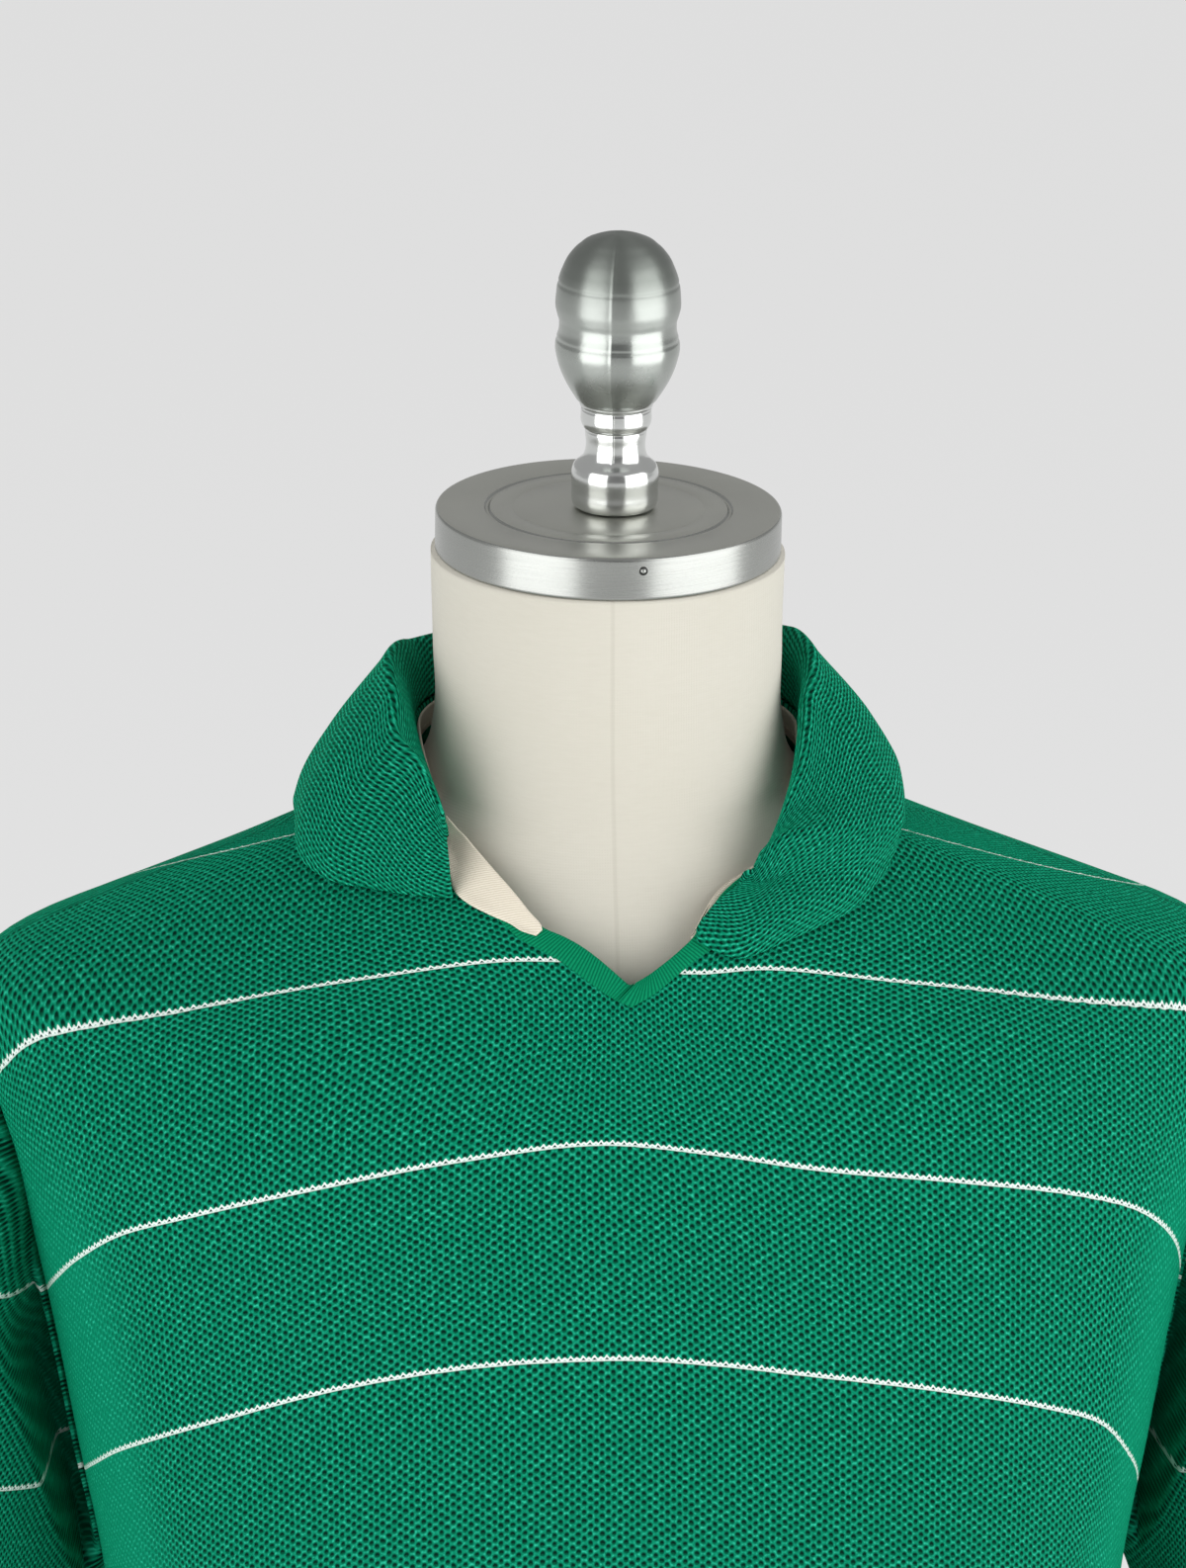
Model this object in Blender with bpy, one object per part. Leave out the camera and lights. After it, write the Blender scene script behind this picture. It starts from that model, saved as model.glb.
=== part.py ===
"""Open-mesh knit polo shirt with thin stripes, worn on a limbless tailor's form. Metres, +Z up, front to -Y."""

import bmesh
import bpy
import numpy as np
from math import cos, pi, radians, sin

MM = 0.001

# ---- driving dimensions, millimetres; heights are below the top of the form's metal cap ----
CAP_TOP = 775.0  # cap top above the floor
NECK_BACK = 5.25  # the neck's axis stands this far behind the middle of the whole
CAP_RADIUS = 61.3
CAP_RIM = 15.6
CAP_GROOVE_RADIUS = 43.0
NECK_JOINT = 0.3  # clear height between cap and linen neck
CAP_LEAN = 1.0  # degrees the neck's top, cap and finial lean to +X
SHOULDER_LEAN = 0.65  # degrees the shoulders drop to +X
BODY_SWAY = 2.5  # the body below the chest stands this far to +X
FINIAL_X = 2.0
BODY_WALL = 1.4
COLLAR_WALL = 1.7
FACING_WALL = 1.3
BAND_WALL = 1.8
SEAM_GAP = 0.4
BAND_REACH = 30.0  # degrees from centre front to which the V band runs
BAND_RAKE = 0.16  # how far the V edge of a band column stands nearer the centre than its seam
LAP_LOW, LAP_HIGH, LAP_GAP = -1.6, 0.4, 0.28  # degrees: edge of the band's lap at seam and V
LAY_GAP = 0.55  # between a piece and the panel it lies on
FACING_SHOWS = -0.22  # share of the band's width by which the inner facing stands past the V
HEM = -755.0
SHOULDER_TIP = -163.0
UNDERARM = -412.0
ARMHOLE_FRONT = 5.0, 15.0  # degrees the armhole cuts into the front, in its lower and upper half
ARMHOLE_BACK = 11.0, 17.0
SLEEVE_END_X, SLEEVE_END_Z = 291.0, -455.0
SLEEVE_END_LONG, SLEEVE_END_SHORT = 80.0, 56.0
SLEEVE_HANG = 20.0  # degrees from plumb at the cuff

# Shirt sections: height, half width, front, back, and the fullness of front and back
# (above 0 squarer, below 0 more pointed).
SHIRT = (
    ("z", "half", "front", "back", "full_f", "full_b"),
    (-70, 70, 62, 84, 0.00, 0.00),
    (-80, 70, 66, 84, 0.00, 0.00),
    (-86, 70.5, 68, 85, 0.00, 0.00),
    (-93, 72.5, 71, 86.5, -0.04, -0.06),
    (-100, 77.5, 74, 88.5, -0.16, -0.22),
    (-107, 91, 78, 91.5, -0.30, -0.42),
    (-115, 111, 82, 95, -0.38, -0.53),
    (-126, 139, 88, 98.5, -0.41, -0.56),
    (-137, 167, 93.5, 102, -0.37, -0.51),
    (-148, 194, 98.5, 105, -0.29, -0.42),
    (-157, 214, 102.5, 107.5, -0.20, -0.31),
    (-166, 226, 106, 110, -0.05, -0.20),
    (-180, 229, 111, 112.5, 0.10, 0.00),
    (-200, 228, 117, 115, 0.22, 0.18),
    (-232, 221, 122.5, 118, 0.30, 0.30),
    (-272, 213, 127, 119, 0.33, 0.32),
    (-312, 206, 129, 119, 0.38, 0.36),
    (-352, 200, 129.5, 117, 0.40, 0.38),
    (-392, 193.5, 129, 115, 0.40, 0.38),
    (-450, 188, 127, 111, 0.37, 0.36),
    (-550, 185, 123, 109, 0.35, 0.34),
    (-650, 189, 121, 112, 0.35, 0.34),
    (-755, 195, 122, 117, 0.35, 0.34),
)

# Linen form sections, the same columns.
FORM = (
    ("z", "half", "front", "back", "full_f", "full_b"),
    (-16, 62.8, 61, 61, 0.00, 0.00),
    (-50, 62.2, 60.5, 62, 0.00, 0.00),
    (-78, 62.5, 62, 66, 0.00, 0.00),
    (-92, 66, 65.5, 74, -0.02, -0.03),
    (-98, 70, 67.5, 77, -0.10, -0.14),
    (-105.9, 84, 69.5, 80, -0.22, -0.30),
    (-114.9, 104, 72.5, 83, -0.34, -0.46),
    (-126.9, 131, 77.5, 88, -0.40, -0.54),
    (-139.9, 160, 83, 93, -0.38, -0.51),
    (-151.9, 187, 88.5, 96, -0.32, -0.43),
    (-162, 203, 94, 99, -0.22, -0.30),
    (-176, 211, 100, 102, -0.10, -0.14),
    (-200, 209, 108, 106, 0.05, 0.05),
    (-236, 201, 115, 110, 0.18, 0.18),
    (-275, 193, 119.5, 111, 0.26, 0.26),
    (-315, 187, 121, 110, 0.30, 0.30),
    (-360, 181, 120, 106, 0.30, 0.30),
    (-440, 172, 112, 98, 0.28, 0.28),
    (-530, 165, 105, 93, 0.26, 0.26),
    (-610, 167, 105, 98, 0.26, 0.26),
    (-690, 174, 107, 105, 0.26, 0.26),
    (-767, 178, 107, 108, 0.26, 0.26),
    (-772.5, 176, 105, 106, 0.26, 0.26),
    (-775, 171, 100, 101, 0.26, 0.26),
)

# Front neckline of the panel by angle from centre front: where the V band or the collar is sewn on.
FRONT_NECK = (
    ("angle", "z"),
    (0, -150),
    (2, -146.8),
    (4.8, -141.4),
    (8, -136),
    (11, -132.6),
    (14, -130),
    (18, -125.5),
    (24, -119.8),
    (30, -114.8),
    (36, -110.8),
    (44, -105.8),
    (52, -101.2),
    (66, -92),
    (78, -85),
    (90, -80),
)
BACK_NECK = (("angle", "z"), (0, -90), (30, -88.5), (60, -84), (90, -80))

# Finished V edge of the band by angle, at the wearer's right and left.
V_EDGE = (
    ("angle", "right", "left"),
    (0.2, -143.4, -143.4),
    (2, -138.9, -140.7),
    (4, -134.8, -137.3),
    (6.5, -131.0, -133.2),
    (8.5, -128.9, -130.0),
    (12, -126.3, -123.6),
    (16, -121.6, -118.2),
    (20, -117.2, -115.0),
    (25, -112.9, -112.6),
    (32, -108.4, -109.8),
)

# Collar stations from a front end to the back. Angles are round the neck from centre front: seam on
# the neckline, roll the fold line, edge the outer edge, which rests lift above the shirt. The leaf
# bulges out between them, and sweeps this many degrees nearer the centre front.
COLLAR_LEFT = (
    ("seam_a", "roll_a", "roll_r", "roll_z", "edge_a", "edge_r", "lift", "bulge", "sweep"),
    (50, 44.2, 88.8, -90.5, 40.0, 93, 4.5, 2, 1.5),
    (55, 48.1, 86.9, -84.2, 49, 98.5, 4.5, 3, 1),
    (62, 54.1, 85.2, -74.2, 57.5, 105, 5, 4, 0),
    (70, 63.1, 84, -68.4, 65, 112, 5, 4, 0),
    (80, 72.4, 78.3, -58.9, 73.5, 116, 5, 3, 0),
    (93, 92, 74, -54, 87, 112.5, 5, 0, 0),
    (107, 107, 73, -55, 103, 113, 5, 0, 0),
    (120, 120, 75.5, -60.5, 119, 115, 5, 1, 0),
    (150, 150, 80, -67, 149, 110, 12, 2, 0),
)
COLLAR_RIGHT = (
    ("seam_a", "roll_a", "roll_r", "roll_z", "edge_a", "edge_r", "lift", "bulge", "sweep"),
    (39, 34.2, 84.8, -108.5, 14.6, 93.8, 5, 0.5, 5),
    (44, 38.3, 82.6, -102.5, 23, 99.5, 5, 3, 3),
    (51, 45.5, 79.9, -91.8, 32, 101, 4.5, 5, 1.5),
    (61, 54, 76.5, -81.8, 41, 103.5, 4.5, 6, 0),
    (73, 63.1, 72.9, -72.4, 51, 106.5, 5, 5, 0),
    (86, 74.9, 70, -62.7, 63, 107, 5, 3, 0),
    (98, 95, 70, -55.5, 79, 105, 5, 0, 0),
    (109, 109, 71, -55.5, 98, 104.5, 5, -1, 0),
    (121, 121, 73.5, -59, 117, 110, 6, 0, 0),
    (150, 150, 80, -66.5, 149, 110, 12, 2, 0),
)
COLLAR_BACK = (180, 180, 81, -68.5, 180, 107, 17, 2, 0)
LEAF_FOLD = 3.0  # rise of the fold that crosses the left leaf from its front end to its edge
LEAF_FOLD_SPAN = 0.24  # half width of that fold along the leaf

# Turned-out facing at the wearer's right: inner and outer edge on the front panel.
LAPEL = (
    ("in_a", "in_z", "out_a", "out_z"),
    (11.9, -127.2, 12.4, -129.2),
    (12.7, -125.2, 14.6, -128.2),
    (14.8, -122.4, 16.9, -126.2),
    (18.0, -118.4, 20.2, -124.6),
    (22.0, -114.5, 24.2, -122.6),
    (27.0, -110.8, 28.4, -119.6),
    (33.0, -107.2, 32.5, -115.2),
    (38.5, -104.4, 37.5, -111.2),
    (40.6, -103.6, 40.0, -109.4),
)

# Finial profile from the cap up.
FINIAL = (
    ("z", "r"),
    (0.3, 15.0),
    (17, 14.6),
    (18.5, 14.0),
    (21.4, 10.9),
    (23.5, 11.0),
    (24.4, 10.4),
    (25.4, 11.2),
    (28.7, 12.0),
    (30.8, 12.2),
    (31.8, 11.6),
    (32.8, 12.5),
    (35.5, 13.4),
    (39.4, 15.8),
    (42.8, 18.0),
    (46.2, 19.6),
    (50.1, 20.8),
    (53, 21.7),
    (56.9, 22.2),
    (60.8, 21.8),
    (63.7, 21.1),
    (67.1, 21.6),
    (71, 22.3),
    (74.4, 22.3),
    (78.3, 21.7),
    (81.7, 20.9),
    (85.1, 19.9),
    (89, 18.4),
    (92.4, 16.2),
    (95.8, 12.6),
    (98, 7.6),
    (98.9, 3.0),
)

FORM_SIDES = 36
CAP_SIDES = 48
FINIAL_SIDES = 30
PANEL_COLUMNS = 26
ARMHOLE_STEPS = 11
SHOULDER_ROWS = 6
SIDE_ROWS = 8
SLEEVE_ROWS = 11
COLLAR_COLUMNS = 46


def column(table, name):
    return np.array([row[table[0].index(name)] for row in table[1:]], float)


def spline(xs, ys, at):
    """Smooth curve through a table's column; xs may run either way."""
    xs, ys = np.asarray(xs, float), np.asarray(ys, float)
    if xs[0] > xs[-1]:
        xs, ys = xs[::-1], ys[::-1]
    at = np.clip(np.asarray(at, float), xs[0], xs[-1])
    rise = np.diff(ys) / np.diff(xs)
    left, right = np.diff(xs)[:-1], np.diff(xs)[1:]
    slope = np.empty_like(ys)
    slope[1:-1] = (rise[:-1] * right + rise[1:] * left) / (left + right)
    slope[0], slope[-1] = rise[0], rise[-1]
    flat = np.zeros(len(ys), bool)
    flat[1:-1] = rise[:-1] * rise[1:] <= 0
    slope[flat] = 0
    i = np.clip(np.searchsorted(xs, at, side="right") - 1, 0, len(xs) - 2)
    width = xs[i + 1] - xs[i]
    t = (at - xs[i]) / width
    return (
        (2 * t**3 - 3 * t**2 + 1) * ys[i]
        + (t**3 - 2 * t**2 + t) * width * slope[i]
        + (3 * t**2 - 2 * t**3) * ys[i + 1]
        + (t**3 - t**2) * width * slope[i + 1]
    )


def smooth(value, start, end):
    t = np.clip((value - start) / (end - start), 0, 1)
    return t * t * (3 - 2 * t)


def tilt(x, z):
    """Drop of the shoulders to +X, fading out down the chest and up the neck."""
    return x * np.tan(np.radians(SHOULDER_LEAN)) * smooth(z, -340, -200) * smooth(z, -35, -80)


def around(table, angle, z):
    """Point of a sectioned body at an angle in degrees from centre front, 180 at centre back."""
    angle, z = np.broadcast_arrays(np.asarray(angle, float), np.asarray(z, float))
    heights = column(table, "z")
    half, front, back, full_f, full_b = (spline(heights, column(table, c), z) for c in table[0][1:])
    a = np.radians(angle)
    depth = np.where(np.cos(a) >= 0, front, back)
    full = np.where(np.cos(a) >= 0, full_f, full_b)
    x = half * np.sin(a) + BODY_SWAY * smooth(z, -165, -300)
    return np.stack([x, -depth * np.cos(a) * (1 + full * np.sin(a) ** 2), z - tilt(x, z)], -1)


def outward(table, angle, z):
    step_a, step_z = 0.5, 0.5
    across = around(table, np.asarray(angle) + step_a, z) - around(table, np.asarray(angle) - step_a, z)
    up = around(table, angle, np.asarray(z) + step_z) - around(table, angle, np.asarray(z) - step_z)
    n = np.cross(across, up)
    return n / np.linalg.norm(n, axis=-1, keepdims=True)


def finish(name, points, faces, material):
    mesh = bpy.data.meshes.new(name)
    points = (np.asarray(points, float) + np.array([0, NECK_BACK, CAP_TOP])) * MM
    mesh.from_pydata([tuple(p) for p in points], [], faces)
    obj = bpy.data.objects.new(name, mesh)
    shirt.objects.link(obj)
    work = bmesh.new()
    work.from_mesh(mesh)
    bmesh.ops.recalc_face_normals(work, faces=work.faces)
    bmesh.ops.triangulate(work, faces=work.faces)
    if work.calc_volume(signed=True) < 0:
        bmesh.ops.reverse_faces(work, faces=work.faces)
    work.to_mesh(mesh)
    work.free()
    mesh.materials.append(material)
    return obj


def shell(name, outer, inner, material, ring=False):
    """A wall between two grids of points, (rows, columns, 3); ring joins the last column to the first."""
    rows, cols = outer.shape[:2]
    index = np.arange(2 * rows * cols).reshape(2, rows, cols)
    faces = []
    wide = cols if ring else cols - 1
    for side in (0, 1):
        for r in range(rows - 1):
            for c in range(wide):
                d = (c + 1) % cols
                faces.append((index[side, r, c], index[side, r, d], index[side, r + 1, d], index[side, r + 1, c]))
    for r in (0, rows - 1):
        for c in range(wide):
            d = (c + 1) % cols
            faces.append((index[0, r, c], index[0, r, d], index[1, r, d], index[1, r, c]))
    if not ring:
        for c in (0, cols - 1):
            for r in range(rows - 1):
                faces.append((index[0, r, c], index[0, r + 1, c], index[1, r + 1, c], index[1, r, c]))
    points = np.concatenate([outer.reshape(-1, 3), inner.reshape(-1, 3)])
    return finish(name, points, [tuple(int(i) for i in f) for f in faces], material)


def normals_of(grid, ring=False):
    along = np.gradient(grid, axis=0)
    if ring:
        across = (np.roll(grid, -1, axis=1) - np.roll(grid, 1, axis=1)) / 2
    else:
        across = np.gradient(grid, axis=1)
    n = np.cross(across, along)
    return n / np.linalg.norm(n, axis=-1, keepdims=True)


def stack(name, rings, material):
    """A closed body from rings of points, flat at both ends."""
    rings = np.asarray(rings)
    count, sides = rings.shape[:2]
    faces = [
        (r * sides + s, r * sides + (s + 1) % sides, (r + 1) * sides + (s + 1) % sides, (r + 1) * sides + s)
        for r in range(count - 1)
        for s in range(sides)
    ]
    faces.append(tuple(range(sides)))
    faces.append(tuple(range((count - 1) * sides, count * sides)))
    return finish(name, rings.reshape(-1, 3), faces, material)


def leant(points, share=1.0):
    """Points turned about the neck's top by the cap's lean."""
    a = radians(CAP_LEAN) * np.asarray(share, float)
    x, z = points[..., 0], points[..., 2]
    return np.stack([x + a * (z + CAP_RIM), points[..., 1], z - a * x], -1)


def turned(name, heights, radii, sides, material, x=0.0):
    a = np.linspace(0, 2 * pi, sides, endpoint=False)
    rings = [np.stack([x + r * np.cos(a), r * np.sin(a), np.full(sides, z)], -1) for z, r in zip(heights, radii)]
    return stack(name, leant(np.array(rings)), material)


def principled(name, colour, roughness, metallic=0.0):
    material = bpy.data.materials.new(name)
    material.use_nodes = True
    shader = material.node_tree.nodes["Principled BSDF"]
    shader.inputs["Base Color"].default_value = (*colour, 1)
    shader.inputs["Roughness"].default_value = roughness
    shader.inputs["Metallic"].default_value = metallic
    material.diffuse_color = (*colour, 1)
    return material


def form():
    heights = [-16.0 - NECK_JOINT, -30, -50, -66, -78, -86, -92, -98, -105.9, -114.9, -126.9, -139.9, -151.9, -162, -176,
               -200, -236, -275, -315, -360, -440, -530, -610, -690, -767, -772.5, -775]
    a = np.linspace(0, 360, FORM_SIDES, endpoint=False)
    rings = [leant(around(FORM, a, np.full(FORM_SIDES, z)), max(0.0, 1 + (z + CAP_RIM) / 45)) for z in heights]
    stack("form_body", rings, linen)
    rim = CAP_RADIUS
    groove = CAP_GROOVE_RADIUS
    turned(
        "form_cap",
        (-CAP_RIM, -CAP_RIM, -1.2, 0, 0, -0.8, -0.8, 0),
        (rim - 0.8, rim, rim, rim - 1.2, groove + 1.6, groove + 0.6, groove - 0.6, groove - 1.6),
        CAP_SIDES,
        metal,
    )
    turned("form_finial", column(FINIAL, "z"), column(FINIAL, "r"), FINIAL_SIDES, metal, FINIAL_X)


def armhole_angle(z, depth):
    level = np.clip((np.asarray(z, float) - UNDERARM) / (SHOULDER_TIP - UNDERARM), 0, 1)
    deep = depth[0] + (depth[1] - depth[0]) * smooth(level, 0.48, 0.78)
    return 90 - deep * np.sqrt(np.clip(1 - (2 * level - 1) ** 2, 0, 1))


def side_heights(top):
    """Row heights along the side edge of a panel, from the hem up to the neck."""
    turn = np.linspace(pi, 0, ARMHOLE_STEPS + 1)
    hole = UNDERARM + (SHOULDER_TIP - UNDERARM) * (1 + np.cos(turn)) / 2
    low = np.linspace(HEM, UNDERARM, SIDE_ROWS + 1)[:-1]
    high = np.linspace(SHOULDER_TIP, top, SHOULDER_ROWS + 1)[1:]
    return np.concatenate([low, hole, high])


def panel_top(neck):
    """Columns of a panel as shares of the way to its side, and the height of its top at each."""
    u = np.linspace(-1, 1, PANEL_COLUMNS + 1)
    u = np.sign(u) * (0.6 * np.abs(u) + 0.4 * np.abs(u) ** 2)
    return u, spline(column(neck, "angle"), column(neck, "z"), np.abs(u) * 90)


def panel(name, neck, depth, behind):
    """A body panel, its rows from the hem to the neckline; the armholes are cut out of its sides."""
    u, top = panel_top(neck)
    side = side_heights(top[-1])
    level = (side - HEM) / (top[-1] - HEM)
    z = HEM + (top[None, :] - HEM) * level[:, None]
    limit = armhole_angle(side, depth)
    seam = around(SHIRT, 90 - 5, side)[:, 1]
    limit = limit - np.where(limit > 89, 5 * (SEAM_GAP / 2) / np.abs(seam), 0)
    angle = u[None, :] * limit[:, None]
    if behind:
        angle = 180 - angle
    outer = around(SHIRT, angle, z)
    normal = outward(SHIRT, angle, z)
    return shell(name, outer, outer - normal * BODY_WALL, mesh_knit)


def sleeve(name, side):
    """A tube from the armhole to the cuff. Turn 0 is the top of the shoulder, 90 the front, 180 the underarm."""
    turn = np.linspace(0, 2 * pi, 2 * ARMHOLE_STEPS, endpoint=False)
    z = UNDERARM + (SHOULDER_TIP - UNDERARM) * (1 + np.cos(turn)) / 2
    angle = np.where(np.sin(turn) >= 0, armhole_angle(z, ARMHOLE_FRONT), 180 - armhole_angle(z, ARMHOLE_BACK))
    mirror = np.array([side, 1, 1])
    loop = around(SHIRT, side * angle, z)
    normal = outward(SHIRT, side * angle, z)
    run = np.roll(loop, -1, axis=0) - np.roll(loop, 1, axis=0)
    run /= np.linalg.norm(run, axis=1, keepdims=True)
    into = np.cross(normal, run)
    into *= np.sign((into * (loop.mean(axis=0) - loop)).sum(axis=1, keepdims=True))
    start = loop + into * (SEAM_GAP + 0.15)
    top = np.array([cos(radians(24)), 0, -sin(radians(24))])
    under = np.array([0.42, 0, -0.9])
    forward = np.array([0.4, -0.78, -0.48])
    rear = np.array([0.45, 0.72, -0.48])
    c, s = np.cos(turn)[:, None], np.sin(turn)[:, None]
    head = np.where(c > 0, c**2 * top, c**2 * under) + np.where(s > 0, s**2 * forward, s**2 * rear)
    head = head / np.linalg.norm(head, axis=1, keepdims=True) * mirror
    hang = np.array([sin(radians(SLEEVE_HANG)), 0, -cos(radians(SLEEVE_HANG))]) * mirror
    cross = np.array([cos(radians(SLEEVE_HANG)), 0, sin(radians(SLEEVE_HANG))]) * mirror
    centre = np.array([SLEEVE_END_X, -6.0, SLEEVE_END_Z]) * mirror
    end = centre + SLEEVE_END_LONG * np.cos(turn)[:, None] * cross - SLEEVE_END_SHORT * np.sin(turn)[:, None] * np.array([0, 1.0, 0])
    reach = np.linalg.norm(end - start, axis=1)[:, None]
    rows = []
    for t in np.linspace(0, 1, SLEEVE_ROWS + 1):
        rows.append(
            (2 * t**3 - 3 * t**2 + 1) * start
            + (t**3 - 2 * t**2 + t) * reach * head
            + (3 * t**2 - 2 * t**3) * end
            + (t**3 - t**2) * reach * hang
        )
    outer = np.array(rows)
    n = normals_of(outer, ring=True)
    middle = outer.mean(axis=1, keepdims=True)
    n *= np.sign(((outer - middle) * n).sum())
    inner = outer - n * BODY_WALL
    return shell(name, outer, inner, mesh_knit, ring=True)


def neckline(side):
    """The neck seam as points by their angle round the neck, one side, centre front to centre back."""
    front = np.linspace(0, 90, 40)
    back = np.linspace(90, 180, 40)[1:]
    a = around(SHIRT, side * front, spline(column(FRONT_NECK, "angle"), column(FRONT_NECK, "z"), front))
    b = around(SHIRT, side * back, spline(column(BACK_NECK, "angle"), column(BACK_NECK, "z"), 180 - back))
    points = np.concatenate([a, b])
    return np.degrees(np.arctan2(np.abs(points[:, 0]), -points[:, 1])), points


def rest_height(x, y):
    """Height of the shirt's outside under a point, searched down from the neck."""
    heights = np.arange(-72.0, -260.0, -0.25)
    half, front, back, full_f, full_b = (
        spline(column(SHIRT, "z"), column(SHIRT, c), heights)[:, None] for c in SHIRT[0][1:]
    )
    full = np.where(y[None, :] < 0, full_f, full_b)
    across = np.clip(np.abs(x)[None, :] / half, 0, 1)
    depth = np.where(y[None, :] < 0, front, back) * np.sqrt(1 - across**2) * (1 + full * across**2)
    inside = (np.abs(x)[None, :] < half) & (np.abs(y)[None, :] < depth)
    found = heights[np.argmax(inside, axis=0)]
    return found - tilt(x, found)


def collar_grid(columns, stand_rows, leaf_rows):
    """Middle surface of the collar: rows from the neck seam over the roll to the outer edge."""
    names = COLLAR_LEFT[0]
    stations = [(-1, row) for row in COLLAR_LEFT[1:]] + [(1, COLLAR_BACK)] + [(1, row) for row in COLLAR_RIGHT[:0:-1]]
    values = {name: [] for name in names}
    for side, row in stations:
        for name, value in zip(names, row):
            if name.endswith("_a"):
                value = value if side < 0 else 360 - value
            if name == "sweep":
                value = value * side
            values[name].append(value)
    place = np.concatenate([[0], np.cumsum(np.abs(np.diff(values["edge_a"])) + 4.0)])
    at = np.linspace(place[0], place[-1], columns + 1)
    v = {name: spline(place, values[name], at) for name in names}
    turn = v["seam_a"]
    right, left = ((a, np.hypot(p[:, 0], p[:, 1]), p[:, 2]) for a, p in (neckline(1), neckline(-1)))
    seam_r, seam_z = (np.where(turn > 180, spline(right[0], right[k], 360 - turn), spline(left[0], left[k], turn)) for k in (1, 2))
    seam_r, seam_z = seam_r - 0.4, seam_z + 1.4
    edge_x = -v["edge_r"] * np.sin(np.radians(v["edge_a"]))
    edge_y = -v["edge_r"] * np.cos(np.radians(v["edge_a"]))
    edge_z = rest_height(edge_x, edge_y) + v["lift"]
    tall = np.maximum(v["roll_z"] - seam_z, 2.0)
    bend = np.minimum(5.0, tall * 0.4)
    drop = v["roll_z"] - edge_z
    out = np.clip((v["edge_r"] - v["roll_r"]) / 26.0, 0.35, 1.0)

    def polar(a, r, z):
        return np.stack([-r * np.sin(np.radians(a)), -r * np.cos(np.radians(a)), z], -1)

    def swung(p, share):
        t = np.radians(v["sweep"] * share)
        return np.stack([p[:, 0] * np.cos(t) + p[:, 1] * np.sin(t), p[:, 1] * np.cos(t) - p[:, 0] * np.sin(t), p[:, 2]], -1)

    roll = polar(v["roll_a"], v["roll_r"] + 3.2 * out, v["roll_z"])
    over = polar(v["roll_a"] * 0.88 + v["edge_a"] * 0.12, v["roll_r"] + 7.5 * out, v["roll_z"] - np.minimum(5.5, 0.2 * drop))
    edge = polar(v["edge_a"], v["edge_r"], edge_z)
    away = polar(v["edge_a"], 1.0 + 0 * edge_z, 0 * edge_z)
    rise = np.array([0, 0, 0.35])
    bulge = v["bulge"][:, None]
    lines = [
        polar(v["seam_a"], seam_r, seam_z),
        polar((v["seam_a"] + v["roll_a"]) / 2, (seam_r + v["roll_r"]) / 2, seam_z + 0.5 * tall),
        polar(v["roll_a"], v["roll_r"], v["roll_z"] - bend),
        roll,
        swung(over, 0.7),
        swung(over * 0.52 + edge * 0.48 + bulge * (away + rise), 1.0),
        swung(over * 0.16 + edge * 0.84 + bulge * 0.8 * (away + rise), 0.5),
        edge,
    ]
    points = np.array(lines)
    steps = np.linalg.norm(np.diff(points, axis=0), axis=2)
    grid = np.empty((stand_rows + leaf_rows + 1, points.shape[1], 3))
    leaf = np.zeros(grid.shape[:2])
    for c in range(points.shape[1]):
        along = np.concatenate([[0], np.cumsum(steps[:, c])])
        rows = np.concatenate(
            [np.linspace(0, along[3], stand_rows + 1)[:-1], np.linspace(along[3], along[-1], leaf_rows + 1)]
        )
        leaf[:, c] = (rows - along[3]) / (along[-1] - along[3])
        for k in range(3):
            grid[:, c, k] = spline(along, points[:, c, k], rows)
    # The left leaf is folded across, from the end of its roll to its outer edge.
    back = (place[-1] - at) / (place[-1] - place[len(COLLAR_LEFT) + 3])
    tent = np.clip(1 - np.abs(leaf - back[None, :]) / LEAF_FOLD_SPAN, 0, 1)
    tent = tent * np.clip(1.25 - back[None, :], 0, 1) * np.clip(6 * (1 - leaf), 0, 1) * (leaf > 0)
    return grid + normals_of(grid) * (LEAF_FOLD * tent)[:, :, None], leaf


def lay_on(table, angle, z, lift):
    return around(table, angle, z) + outward(table, angle, z) * lift


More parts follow.
